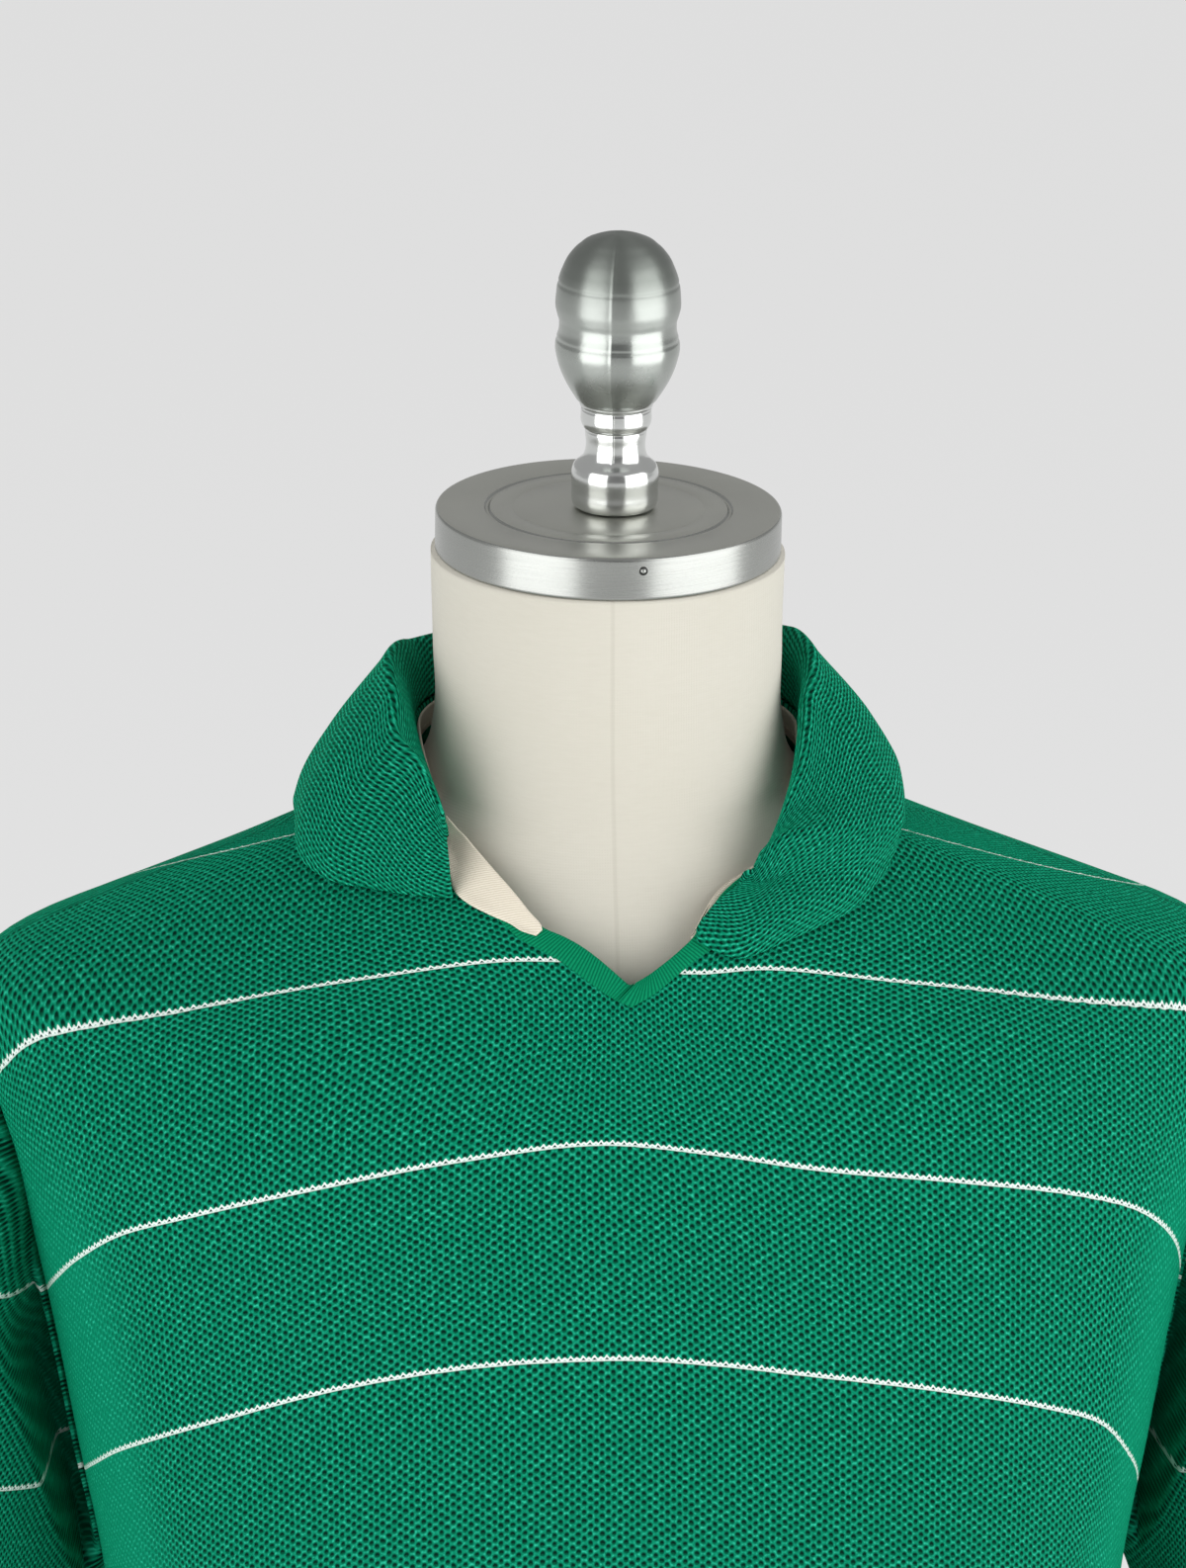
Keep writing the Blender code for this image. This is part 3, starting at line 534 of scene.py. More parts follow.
# Height of each white course round the body, by angle from centre front, the wearer's right below 0.
COURSES = (
    ("angle", "first", "second", "third", "fourth"),
    (-180, -118, -190, -264, -340),
    (-150, -127, -198, -270, -345),
    (-130, -144, -208, -281, -354),
    (-120, -149, -213, -287, -360),
    (-112, -146, -215, -291, -364),
    (-105, -140.3, -216, -294, -366),
    (-95, -133.1, -215, -294, -366),
    (-85, -125.2, -210, -289, -361),
    (-75, -114.8, -196.5, -273.5, -345),
    (-65, -107, -179, -255, -327),
    (-55, -100, -169.5, -238, -312),
    (-45, -93, -161.5, -226.5, -299),
    (-30, -84, -147, -212, -282.5),
    (-15, -78, -136.8, -200, -273),
    (-3, -76, -136, -194.6, -271.2),
    (7, -77, -140.5, -199, -274.5),
    (15, -79, -140.8, -205, -279.4),
    (30, -86, -151, -213.7, -290),
    (45, -95, -163, -225.2, -305),
    (55, -102, -169.5, -237, -319),
    (65, -109, -177, -255.5, -343),
    (70, -119.5, -183.5, -267, -355),
    (75, -128.3, -192, -280, -367),
    (85, -140.2, -209, -298, -376),
    (95, -148, -215, -300, -375),
    (108, -153, -217, -296, -369),
    (120, -151, -213, -289, -362),
    (150, -128, -198, -270, -345),
    (180, -118, -190, -264, -340),
)
# Soft folds of the hanging cloth: from one point to another, by angle and height, how wide and how deep.
# Above 0 a fold stands out, below 0 it falls in.
FOLD_DEGREE_MM = 3.2
FOLDS = (
    ("a0", "z0", "a1", "z1", "wide", "deep"),
    (-58, -420, -52, -755, 16, 4.5),
    (-30, -470, -34, -755, 20, -5),
    (-8, -520, -12, -755, 22, 3.5),
    (17, -440, 14, -755, 19, -4.5),
    (39, -480, 44, -755, 17, 5),
    (63, -400, 58, -755, 18, -4),
    (82, -430, 80, -755, 14, 4),
    (-79, -440, -77, -755, 15, -4.5),
    (104, -420, 107, -755, 16, -4.5),
    (124, -380, 121, -755, 20, 5),
    (143, -440, 148, -755, 18, -5),
    (166, -400, 163, -755, 22, 4.5),
    (186, -470, 190, -755, 19, -4),
    (208, -410, 205, -755, 21, 5.5),
    (229, -450, 233, -755, 17, -5),
    (250, -400, 247, -755, 18, 4.5),
    (-66, -330, -40, -450, 12, -1.6),
    (64, -350, 46, -430, 11, -1.4),
    (112, -230, 150, -330, 18, 2.2),
    (246, -240, 214, -350, 16, 2.4),
    (128, -200, 168, -250, 14, 1.4),
)


def unit(v):
    return v / np.linalg.norm(v, axis=-1, keepdims=True)


def facing(surface, angle, z, step):
    """Outward normal of a surface that is given by angle and height."""
    across = surface(angle + step, z) - surface(angle - step, z)
    up = surface(angle, z + step) - surface(angle, z - step)
    return unit(np.cross(across, up))


def outward(table, angle, z):
    return facing(partial(around, table), np.asarray(angle), np.asarray(z), 0.5)


def lay_on(angle, z, lift):
    """A point of the shirt's outside, raised by a distance."""
    return around(SHIRT, angle, z) + outward(SHIRT, angle, z) * np.broadcast_to(lift, np.shape(z))[..., None]


def run_of(points, axis=0):
    """Distance walked along rows or columns of points, from 0."""
    step = np.linalg.norm(np.diff(points, axis=axis), axis=-1)
    start = np.zeros_like(np.take(step, [0], axis=axis))
    return np.concatenate([start, np.cumsum(step, axis=axis)], axis=axis)


def folds(angle, z):
    """How far the folds move the cloth outwards at an angle and height."""
    moved = np.zeros(np.broadcast(angle, z).shape)
    for a0, z0, a1, z1, wide, deep in FOLDS[1:]:
        for turned_by in (-360, 0, 360):
            run = np.array([(a1 - a0) * FOLD_DEGREE_MM, z1 - z0])
            x, y = (angle - a0 - turned_by) * FOLD_DEGREE_MM, z - z0
            t = (x * run[0] + y * run[1]) / (run @ run)
            side = (x * run[1] - y * run[0]) / np.hypot(*run)
            end = smooth(t, 0, 0.55) if z1 <= HEM else smooth(t, 0, 0.4) * smooth(t, 1, 0.6)
            moved = moved + deep * end * np.exp(-((side / wide) ** 2)) * (t > 0)
    return moved


def worn(angle, z):
    """Middle of the body's wall with its folds and its doubled hem, at an angle and height."""
    doubled = HEM_DOUBLE * smooth(z, HEM + HEM_DEEP + 1.2, HEM + HEM_DEEP - 1.2)
    return lay_on(angle, z, folds(angle, z) + doubled - BODY_WALL / 2)


def sampled(values, rows, columns, at_row, at_column):
    """Bilinear reading of a table over evenly stepped rows and columns."""
    i = np.clip((at_row - rows[0]) / (rows[1] - rows[0]), 0, len(rows) - 1.001)
    j = np.clip((at_column - columns[0]) / (columns[1] - columns[0]), 0, len(columns) - 1.001)
    r, c = i.astype(int), j.astype(int)
    f, g = i - r, j - c
    low, high = (values[r, k] * (1 - f) + values[r + 1, k] * f for k in (c, c + 1))
    return low * (1 - g) + high * g


# The knit lies along the white courses: course is the count of stripe steps down from the first white one,
# wale the distance along a course from centre front or back.
turns = np.arange(-180.0, 181.0, 1.5)
levels = np.arange(-72.0, -758.0, -1.0)
down = run_of(around(SHIRT, turns[:, None], levels[None, :]), 1)
course = np.empty_like(down)
for i, at in enumerate(turns):
    marks = [read(COURSES, name, at) for name in COURSES[0][1:]]
    known = np.interp([-m for m in marks] + [-HEM], -levels, down[i])
    known = np.concatenate([[known[0] - STRIPE_STEP], known])
    course[i] = np.interp(down[i], known, [-1, 0, 1, 2, 3, HEM_STRIPE])
steps = np.arange(-1.0, HEM_STRIPE + 0.1, 0.1)
row_z = np.array([np.interp(steps, course[i], levels) for i in range(len(turns))])
reach = run_of(around(SHIRT, turns[:, None], row_z))


def knit_place(angle, z):
    """Wale and course at an angle and height, in metres; wales are counted from centre front or back."""
    v = sampled(course, turns, levels, angle, z)
    u = sampled(reach, turns, steps, angle, v)
    start = sampled(reach, turns, steps, np.where(np.abs(angle) > 90, np.sign(angle) * 180, 0), v)
    return (u - start) * MM, v * STRIPE_STEP * MM


# Share of the wall that is left in the two outermost rows at a cut edge.
EDGE_THIN = 0.30, 0.82


def cloth(name, grid, normal, wall, uv, material, slot, node, thin=(), ring=False, shade=None):
    """A wall of cloth on both sides of a grid of points, thinner along the edges named in thin.
    A ring's UV has one more column than its points."""
    rows, cols = grid.shape[:2]
    share = np.ones((rows, cols))
    edges = {"first": share, "last": share[::-1], "start": share.T, "end": share.T[::-1]}
    for edge in thin:
        for k, value in enumerate(EDGE_THIN):
            edges[edge][k] = np.minimum(edges[edge][k], value)
    half = wall / 2 * share[:, :, None]
    points = np.concatenate([(grid + normal * half).reshape(-1, 3), (grid - normal * half).reshape(-1, 3)])
    size = rows * cols
    front, r, c = quads(rows, cols, ring)
    front_uv = np.stack([uv[r, c], uv[r, c + 1], uv[r + 1, c + 1], uv[r + 1, c]], 1)
    faces, corners = [front, front[:, ::-1] + size], [front_uv, front_uv[:, ::-1]]

    def close(near, far, uv_near, uv_far, flip):
        way = -1 if flip else 1
        faces.append(np.stack([near, near + size, far + size, far], -1)[:, ::way])
        corners.append(np.stack([uv_near, uv_near, uv_far, uv_far], 1)[:, ::way])

    c = np.arange(cols if ring else cols - 1)
    for k in (0, rows - 1):
        close(k * cols + c, k * cols + (c + 1) % cols, uv[k, c], uv[k, c + 1], k > 0)
    if not ring:
        r = np.arange(rows - 1)
        for k in (0, cols - 1):
            close(r * cols + k, (r + 1) * cols + k, uv[r, k], uv[r + 1, k], k == 0)
    faces, corners = np.concatenate(faces), np.concatenate(corners)
    # The outer side has to face along the normal.
    a, b, d = (points[faces[0, k]] for k in (0, 1, 3))
    if np.dot(np.cross(b - a, d - a), normal[0, 0]) < 0:
        faces, corners = faces[:, ::-1], corners[:, ::-1]
    if shade is not None:
        shade = np.concatenate([shade.reshape(-1, 3), -shade.reshape(-1, 3)])
    return placed(name, points, faces.tolist(), material, slot, node, corners.reshape(-1, 2), shade)


# Cotton pique in open mesh: matt, soft green yarn, painted with highlights where it crosses and crowns. Its
# holes are 2.1 mm apart along a course and 3.25 mm down a wale, painted as dark shade, darkest at the top,
# paler at the foot. A white course winds over them as a fine zigzag, every other tooth taller, closed by a
# paler thread below.
WALE_MM = 2.1
HOLE_MM = 3.25
TOOTH_MM = 0.42
TALL_TOOTH_MM = 0.26
CLOSING_MM = 0.85


def mesh_nodes(add, striped=True, drawn=0.0):
    """The knit over the cloth's UV; drawn from 0 to 1, its holes close up into slanting lines."""
    uv = add("UVMap", uv_map="cloth")
    u, v = add("SeparateXYZ", uv).node.outputs[:2]
    loose, fuzz, patch, spot = (
        add("TexNoise", {"Vector": uv, "Scale": scale, "Detail": detail})
        for scale, detail in ((260.0, 1.0), (430.0, 1.0), (14.0, 2.0), (700.0, 1.0))
    )
    fibre = add("TexNoise", {"Vector": uv, "Scale": 1500.0, "Detail": 2.0})
    wander = add("Math", loose, 1.4, -0.7, operation="MULTIPLY_ADD")
    across = add("Math", u, pi / (WALE_MM * MM), wander, operation="MULTIPLY_ADD")
    down = add("Math", v, 2 * pi / (HOLE_MM * MM), wander, operation="MULTIPLY_ADD")
    wale = add("Math", across, operation="COSINE")
    twin = add("Math", add("Math", across, 2.0, operation="MULTIPLY"), operation="COSINE")
    net = add("Math", wale, add("Math", down, operation="COSINE"), operation="MULTIPLY")
    net = add("Math", net, 1 - 0.55 * drawn, operation="MULTIPLY")
    net = add("Math", twin, 0.36 + 0.5 * drawn, net, operation="MULTIPLY_ADD")
    net = add("Math", fuzz, 1.1, add("Math", net, 0.55, operation="SUBTRACT"), operation="MULTIPLY_ADD")
    foot = add("Math", wale, add("Math", down, operation="SINE"), operation="MULTIPLY")
    foot = add("MapRange", foot, -0.1, 0.9, **SOFTLY)
    # Where the holes are shut, they close, and most of their painted shade goes with them.
    open_ = add("Attribute", out="Fac", attribute_name="holes_shut")
    open_ = add("Math", open_, -0.8, 1.0, operation="MULTIPLY_ADD")
    hole = add("Math", add("MapRange", net, -0.55, 0.75, **SOFTLY), open_, operation="MULTIPLY")
    # Painted highlight: the yarn is paled in spots where it crosses and crowns.
    crown_painted_light = add("MapRange", net, -0.2, -1.1, **SOFTLY)
    crown_painted_light = add("Math", crown_painted_light, add("MapRange", spot, 0.38, 0.62, **SOFTLY), operation="MULTIPLY")
    yarn = add("Mix", {0: fibre, 6: srgb("#007553"), 7: srgb("#0B9270")}, **COLOURS)
    patch = add("Math", patch, 0.2, operation="MULTIPLY")
    yarn = add("Mix", {0: patch, 6: yarn, 7: srgb("#00694A")}, **COLOURS)
    yarn = add("Mix", {0: crown_painted_light, 6: yarn, 7: srgb("#2FBF9B")}, **COLOURS)
    # Painted shade: the holes are coloured dark, as the shade inside them, darkest at the top and paler at the
    # foot.
    deep = add("Mix", {0: foot, 6: srgb("#00231A"), 7: srgb("#005138")}, **COLOURS)
    tone = add("Mix", {0: hole, 6: yarn, 7: deep}, **COLOURS)
    sunk = hole
    if striped:
        lane = add("Math", v, 1 / (STRIPE_STEP * MM), 0.5, operation="MULTIPLY_ADD")
        lane = add("Math", lane, operation="FRACT")
        lane = add("Math", lane, STRIPE_STEP, 0.35 - STRIPE_STEP / 2, operation="MULTIPLY_ADD")
        tooth = add("Math", wale, TALL_TOOTH_MM, lane, operation="MULTIPLY_ADD")
        tooth = add("Math", twin, TOOTH_MM, tooth, operation="MULTIPLY_ADD")
        tooth = add("MapRange", add("Math", tooth, operation="ABSOLUTE"), 0.66, 0.34, **SOFTLY)
        closing = add("Math", add("Math", lane, CLOSING_MM, operation="SUBTRACT"), operation="ABSOLUTE")
        closing = add("MapRange", closing, 0.46, 0.16, **SOFTLY)
        closing = add("Math", closing, 0.8, operation="MULTIPLY")
        white = add("Math", tooth, closing, operation="MAXIMUM")
        below = add("Math", v, -0.5 * STRIPE_STEP * MM, operation="GREATER_THAN")
        white = add("Math", white, below, operation="MULTIPLY")
        pale = add("Mix", {0: fibre, 6: srgb("#D3E4DC"), 7: srgb("#F4F8F5")}, **COLOURS)
        tone = add("Mix", {0: white, 6: tone, 7: pale}, **COLOURS)
        sunk = add("Math", white, -0.8, 1.0, operation="MULTIPLY_ADD")
        sunk = add("Math", hole, sunk, operation="MULTIPLY")
    relief = add("Math", net, -0.35, add("Math", fibre, 0.25, operation="MULTIPLY"), operation="MULTIPLY_ADD")
    relief = add("Math", relief, sunk, operation="SUBTRACT")
    bump = add("Bump", {"Height": relief, "Strength": 0.6, "Distance": 0.0007})
    return {"Base Color": tone, "Normal": bump}


KNIT_SHEEN = {
    "Roughness": 0.9,
    "Specular IOR Level": 0.05,
    "Sheen Weight": 0.6,
    "Sheen Roughness": 0.35,
    "Sheen Tint": srgb("#08BE88"),
}
mesh_knit = finished("cotton_open_mesh_pique", KNIT_SHEEN, mesh_nodes)
# The wales are drawn together towards the point of the V.
V_DRAWN, V_POINT_Z, V_REACH, V_DEGREE_MM = 0.35, -150, 34, 1.7
# At the body's sides, by angle from the middle and by height, the holes close and most of their painted shade
# goes.
HOLES_SHUT_SIDE = 53.0, 65.0
HOLES_SHUT_BELOW = -190.0, -270.0


def shut_holes(piece, holes_shut):
    values = np.tile(holes_shut.ravel(), 2).astype(np.float32)
    piece.data.attributes.new("holes_shut", "FLOAT", "POINT").data.foreach_set("value", values)


def armhole_angle(z, depth):
    level = np.clip((np.asarray(z, float) - UNDERARM) / (SHOULDER_TIP - UNDERARM), 0, 1)
    deep = depth[0] + (depth[1] - depth[0]) * smooth(level, 0.48, 0.78)
    return 90 - deep * np.sqrt(np.clip(1 - (2 * level - 1) ** 2, 0, 1))


def panel(name, node, neck, depth, behind):
    """A body panel, its rows from the hem to the neckline; the armholes are cut out of its sides."""
    u = np.linspace(-1, 1, PANEL_COLUMNS + 1)
    u = np.sign(u) * (0.6 * np.abs(u) + 0.4 * np.abs(u) ** 2)
    top = read(neck, "z", np.abs(u) * 90)
    hole = UNDERARM + (SHOULDER_TIP - UNDERARM) * (1 + np.cos(np.linspace(pi, 0, 57))) / 2
    hem = HEM + np.array([0, 0.6, 1.4, 6, 12, 18, 20, 20.8, 21.4, 22, 22.6, 23.2, 24, 26])
    shoulder = np.linspace(SHOULDER_TIP, top[-1], 27)[1:-2]
    neckline = top[-1] - np.array([1.6, 0.7, 0])
    side = np.concatenate([hem, np.linspace(HEM + 32, UNDERARM, 50)[:-1], hole, shoulder, neckline])
    level = (side - HEM) / (top[-1] - HEM)
    z = HEM + (top[None, :] - HEM) * level[:, None]
    angle = u[None, :] * armhole_angle(side, depth)[:, None]
    if behind:
        angle = 180 - angle
    signed = np.where(angle > 180, angle - 360, angle)
    skin, normal = worn(angle, z), facing(worn, angle, z, 0.4)
    wales, courses = knit_place(signed, z)
    if not behind:
        off = (angle * V_DEGREE_MM / V_REACH) ** 2
        wales = wales * (1 + V_DRAWN * np.exp(-off - (((z - V_POINT_Z) / V_REACH) ** 2)))
    uv = np.stack([wales, courses], -1)
    thin = "first", "last"
    piece = cloth(name, skin, normal, BODY_WALL, uv, mesh_knit, "mesh_knit", node, thin, shade=normal)
    turned_by = 90 - np.abs(90 - np.abs(signed))
    shut_holes(piece, smooth(turned_by, *HOLES_SHUT_SIDE) * smooth(z, *HOLES_SHUT_BELOW))
    return piece


# The hems are held by two rows of lockstitch in green polyester thread, 3 mm a stitch. The thread is smooth
# and has a faint gloss.
STITCH_ROWS = 20.0, 15.0
STITCH_PITCH = 3.0
STITCH_LENGTH = 2.4
THREAD_THICK = 0.5
STITCH_PROUD = 0.05


def stitch_row_tree():
    """Geometry nodes that lay one stitch after another along a path."""
    tree = bpy.data.node_groups.new("stitch_row", "GeometryNodeTree")
    add = partial(add_node, tree)
    kinds = {"Path": "Geometry", "Material": "Material"}
    for name in ("Path", "Pitch", "Length", "Thread", "Material"):
        kind = "NodeSocket" + kinds.get(name, "Float")
        tree.interface.new_socket(name, in_out="INPUT", socket_type=kind)
    tree.interface.new_socket("Stitches", in_out="OUTPUT", socket_type="NodeSocketGeometry")
    given = add("NodeGroupInput").node.outputs
    path = add("GeometryNodeMeshToCurve", given["Path"])
    path = add("GeometryNodeResampleCurve", {"Curve": path, "Length": given["Pitch"]}, mode="LENGTH")
    along = add("GeometryNodeInputTangent")
    along = add("FunctionNodeAlignRotationToVector", {"Vector": along}, axis="X")
    bead = add("GeometryNodeMeshIcoSphere", {"Radius": 0.5, "Subdivisions": 1})
    bead = add("GeometryNodeSetShadeSmooth", {"Geometry": bead})
    size = add("CombineXYZ", given["Length"], given["Thread"], given["Thread"])
    laid = {"Points": path, "Instance": bead, "Rotation": along, "Scale": size}
    real = add("GeometryNodeRealizeInstances", add("GeometryNodeInstanceOnPoints", laid))
    real = add("GeometryNodeSetMaterial", {"Geometry": real, "Material": given["Material"]})
    add("NodeGroupOutput", real)
    return tree


stitch_row = stitch_row_tree()


def stitches(name, lines, thread, slot, closed=False):
    """Rows of stitches along lines of points in millimetres, as one plain mesh."""
    points, links = np.concatenate(lines), []
    for k, line in enumerate(lines):
        first = sum(len(other) for other in lines[:k])
        links += [(first + i, first + (i + 1) % len(line)) for i in range(len(line) - (not closed))]
    mesh = bpy.data.meshes.new(name + "_path")
    mesh.from_pydata(((points + (0, NECK_BACK, CAP_TOP)) * MM).tolist(), links, [])
    piece = shown(name, mesh, slot)
    row = piece.modifiers.new("stitches", "NODES")
    row.node_group = stitch_row
    sizes = {"Pitch": STITCH_PITCH * MM, "Length": STITCH_LENGTH * MM, "Thread": THREAD_THICK * MM}
    sizes["Material"] = thread
    for socket in stitch_row.interface.items_tree:
        if socket.name in sizes:
            row[socket.identifier] = sizes[socket.name]
    made = bpy.data.meshes.new_from_object(piece.evaluated_get(bpy.context.evaluated_depsgraph_get()))
    piece.modifiers.clear()
    piece.data = made
    return piece


def polyester(name, dark, light):
    def plies(add):
        twist = add("TexNoise", {"Vector": add("TexCoord", out="Object"), "Scale": 1800.0, "Detail": 2.0})
        return {"Base Color": add("Mix", {0: twist, 6: srgb(dark), 7: srgb(light)}, **COLOURS)}

    return finished(name, {"Roughness": 0.45, "Specular IOR Level": 0.3}, plies)


green_thread = polyester("polyester_thread_green", "#006B49", "#149B70")
front_panel = panel("front_panel", "shirt_front", FRONT_NECK, ARMHOLE_FRONT, False)
back_panel = panel("back_panel", "shirt_back", BACK_NECK, ARMHOLE_BACK, True)
for piece, low, high, flat, area in (
    (front_panel, -89.5, 89.5, (0.57, 0.70), 0.344),
    (back_panel, 90.5, 269.5, (0.56, 0.71), 0.337),
):
    angle = np.linspace(low, high, 400)
    lines = []
    for up in STITCH_ROWS:
        z = np.full_like(angle, HEM + up)
        lines.append(worn(angle, z) + facing(worn, angle, z, 0.4) * (BODY_WALL / 2 + STITCH_PROUD))
    sewing = stitches(piece.name + "_stitches", lines, green_thread, "mesh_knit")

# ---- The sleeves ----
# Short set-in sleeves of the same pique, its courses lying level with the body's at the armhole and with the
# hem at the cuff. Each is one piece, closed by a seam under the arm, and hangs empty.
SEAM_GAP = 0.15
SLEEVE_END_X, SLEEVE_END_Y, SLEEVE_END_Z = 291.0, -6.0, -455.0
SLEEVE_END_LONG, SLEEVE_END_SHORT = 80.0, 56.0
SLEEVE_HANG = radians(20)
SHOULDER_FALL = radians(24)
SLEEVE_COLUMNS = 184
SLEEVE_ROWS = 78
CUFF_COURSE = 4.72
# Soft folds of the empty sleeve by turn round it and share of its length, 0 at the armhole. Each grows to its
# full depth over this share.
SLEEVE_FOLD_GROWS = 0.45
SLEEVE_FOLDS = (
    ("turn", "start", "wide", "deep", "twist"),
    (-40, 0.25, 0.2, 3, 14),
    (28, 0.35, 0.16, -2.6, -10),
    (64, 0.3, 0.18, 2.8, 12),
    (118, 0.15, 0.17, -3, -16),
    (-112, 0.12, 0.2, -3.4, 18),
    (-148, 0.2, 0.14, 2.6, 8),
)
# Beside the body each sleeve falls back steeply below the front of the armhole.
FALL_BACK = 40.0
FALL_BACK_SHARE = 0.012, 0.045, 0.13, 0.2
FALL_BACK_TURN = 80.0, 104.0, 128.0, 156.0


def normals_of(grid, ring=False):
    along = np.gradient(grid, axis=0)
    across = np.gradient(grid, axis=1)
    if ring:
        across = (np.roll(grid, -1, axis=1) - np.roll(grid, 1, axis=1)) / 2
    return unit(np.cross(across, along))


def sleeve(name, node, side):
    """A tube from the armhole to the cuff. Turn 0 is the shoulder's top, 90 the front, 180 the underarm."""
    turn = np.linspace(-pi, pi, SLEEVE_COLUMNS, endpoint=False)
    z = UNDERARM + (SHOULDER_TIP - UNDERARM) * (1 + np.cos(turn)) / 2
    angle = np.where(np.sin(turn) >= 0, armhole_angle(z, ARMHOLE_FRONT), 180 - armhole_angle(z, ARMHOLE_BACK))
    mirror = np.array([side, 1, 1])
    loop = around(SHIRT, side * angle, z)
    normal = outward(SHIRT, side * angle, z)
    into = np.cross(normal, unit(np.roll(loop, -1, axis=0) - np.roll(loop, 1, axis=0)))
    into *= np.sign((into * (loop.mean(axis=0) - loop)).sum(axis=1, keepdims=True))
    start = loop + into * SEAM_GAP
    # The ways in which the cloth leaves the armhole, and the way in which the sleeve hangs.
    over = np.array([cos(SHOULDER_FALL), 0, -sin(SHOULDER_FALL)])
    under = np.array([0.42, 0, -0.9])
    forward = np.array([0.4, -0.78, -0.48])
    rear = np.array([0.45, 0.72, -0.48])
    c, s = np.cos(turn)[:, None], np.sin(turn)[:, None]
    head = np.where(c > 0, c**2 * over, c**2 * under) + np.where(s > 0, s**2 * forward, s**2 * rear)
    head = unit(head) * mirror
    hang = np.array([sin(SLEEVE_HANG), 0, -cos(SLEEVE_HANG)]) * mirror
    cross = np.array([cos(SLEEVE_HANG), 0, sin(SLEEVE_HANG)]) * mirror
    centre = np.array([SLEEVE_END_X, SLEEVE_END_Y, SLEEVE_END_Z]) * mirror
    end = centre + SLEEVE_END_LONG * c * cross - SLEEVE_END_SHORT * s * np.array([0, 1.0, 0])
    length = np.linalg.norm(end - start, axis=1)[:, None]
    share = np.concatenate([np.linspace(0, 1, SLEEVE_ROWS - 2)[:-1], [0.9945, 0.9978, 1.0]])[:, None, None]
    outer = hermite(share, start, length * head, end, length * hang)
    middle = outer.mean(axis=1, keepdims=True)

    def outwards(grid):
        n = normals_of(grid, ring=True)
        return n * np.sign(((grid - middle) * n).sum())

    t, a = share[:, :, 0], np.degrees(turn)[None, :]
    moved = np.zeros(outer.shape[:2])
    for at, first, wide, deep, twist in SLEEVE_FOLDS[1:]:
        off = (a - at - twist * t * side + 180) % 360 - 180
        moved += deep * smooth(t, first, first + SLEEVE_FOLD_GROWS) * np.exp(-((off / (wide * 100)) ** 2))
    s0, s1, s2, s3 = FALL_BACK_SHARE
    t0, t1, t2, t3 = FALL_BACK_TURN
    back = smooth(t, s0, s1) * smooth(t, s3, s2) * smooth(a, t0, t1) * smooth(a, t3, t2)
    to_cuff = run_of(outer[::-1])[::-1]
    moved += HEM_DOUBLE * smooth(to_cuff, HEM_DEEP + 2, HEM_DEEP - 2)
    grid = outer + outwards(outer) * (moved - BODY_WALL / 2)[:, :, None]
    grid += FALL_BACK * back[:, :, None] * np.array([0, 1.0, 0])
    n = outwards(grid)
    # Courses run from the body's at the armhole to one level course at the cuff.
    body = sampled(course, turns, levels, side * np.where(angle > 180, angle - 360, angle), z)
    rows = body[None, :] + (CUFF_COURSE - body[None, :]) * t**1.2
    rows = np.concatenate([rows, rows[:, :1]], axis=1)
    u = run_of(np.concatenate([outer, outer[:, :1]], axis=1), 1)
    u -= u[:, SLEEVE_COLUMNS // 2][:, None]
    uv = np.stack([u * MM, rows * STRIPE_STEP * MM], -1)
    piece = cloth(name, grid, n, BODY_WALL, uv, mesh_knit, "mesh_knit", node, ("last",), ring=True)
    # In the fall-back the holes close too, and most of their painted shade goes.
    shut_holes(piece, back)
    outside = grid + n * (BODY_WALL / 2 + STITCH_PROUD)
    lines = [
        np.array([
            [np.interp(high, to_cuff[::-1, k], outside[::-1, k, axis]) for axis in range(3)]
            for k in range(SLEEVE_COLUMNS)
        ])
        for high in STITCH_ROWS
    ]
    return piece, stitches(name + "_stitches", lines, green_thread, "mesh_knit", closed=True)


for name, node, side in (("right_sleeve", "sleeve_right", -1), ("left_sleeve", "sleeve_left", 1)):
    piece, sewing = sleeve(name, node, side)
    under = ["front_panel", "back_panel"]

# ---- The band of the V ----
# A narrow strip of fine 1 x 1 rib, folded in half and sewn round the V, its ribs running across it. The
# wearer's left end laps over the right one at the point.
BAND_WALL = 1.8
BAND_REACH = 30.0
BAND_RAKE = 0.16
LAP_LOW, LAP_HIGH, LAP_GAP = -1.6, 0.4, 0.28
LAP_LIFT, LAP_SINK = 1.0, -1.3
LAP_TUCK = 2.2
LAP_RUN = 2, 9, 13
BAND_PUFF = 0.35
BAND_TUCKED = 0.7
BAND_UV_M = 0.008
BAND_COLUMNS = 560
BAND_ROWS = 15
RIB_MM = 1.15
RIB_DEEP = 0.13
V_EDGE = (
    ("angle", "right", "left"),
    (0.2, -143.4, -143.4),
    (2, -138.9, -140.7),
    (4, -134.8, -137.3),
    (6.5, -131, -133.2),
    (8.5, -128.9, -130),
    (12, -126.3, -123.6),
    (16, -121.6, -118.2),
    (20, -117.2, -115),
    (25, -112.9, -112.6),
    (32, -108.4, -109.8),
)


# Fine cotton rib: denser and darker than the mesh, with painted shade between the ribs.
def rib_nodes(add):
    uv = add("UVMap", uv_map="cloth")
    ribs = add("Math", add("SeparateXYZ", uv), 2 * pi / (RIB_MM * MM), operation="MULTIPLY")
    ribs = add("MapRange", add("Math", ribs, operation="COSINE"), -1.0, 0.4)
    loops = add("TexNoise", {"Vector": uv, "Scale": 1300.0, "Detail": 2.0})
    tone = add("Mix", {0: loops, 6: srgb("#00784F"), 7: srgb("#129467")}, **COLOURS)
    # Painted shade: darker colour in the grooves between the ribs.
    tone = add("Mix", {0: ribs, 6: srgb("#006444"), 7: tone}, **COLOURS)
    bump = add("Bump", {"Height": loops, "Strength": 0.35, "Distance": 0.0003})
    return {"Base Color": tone, "Normal": bump}


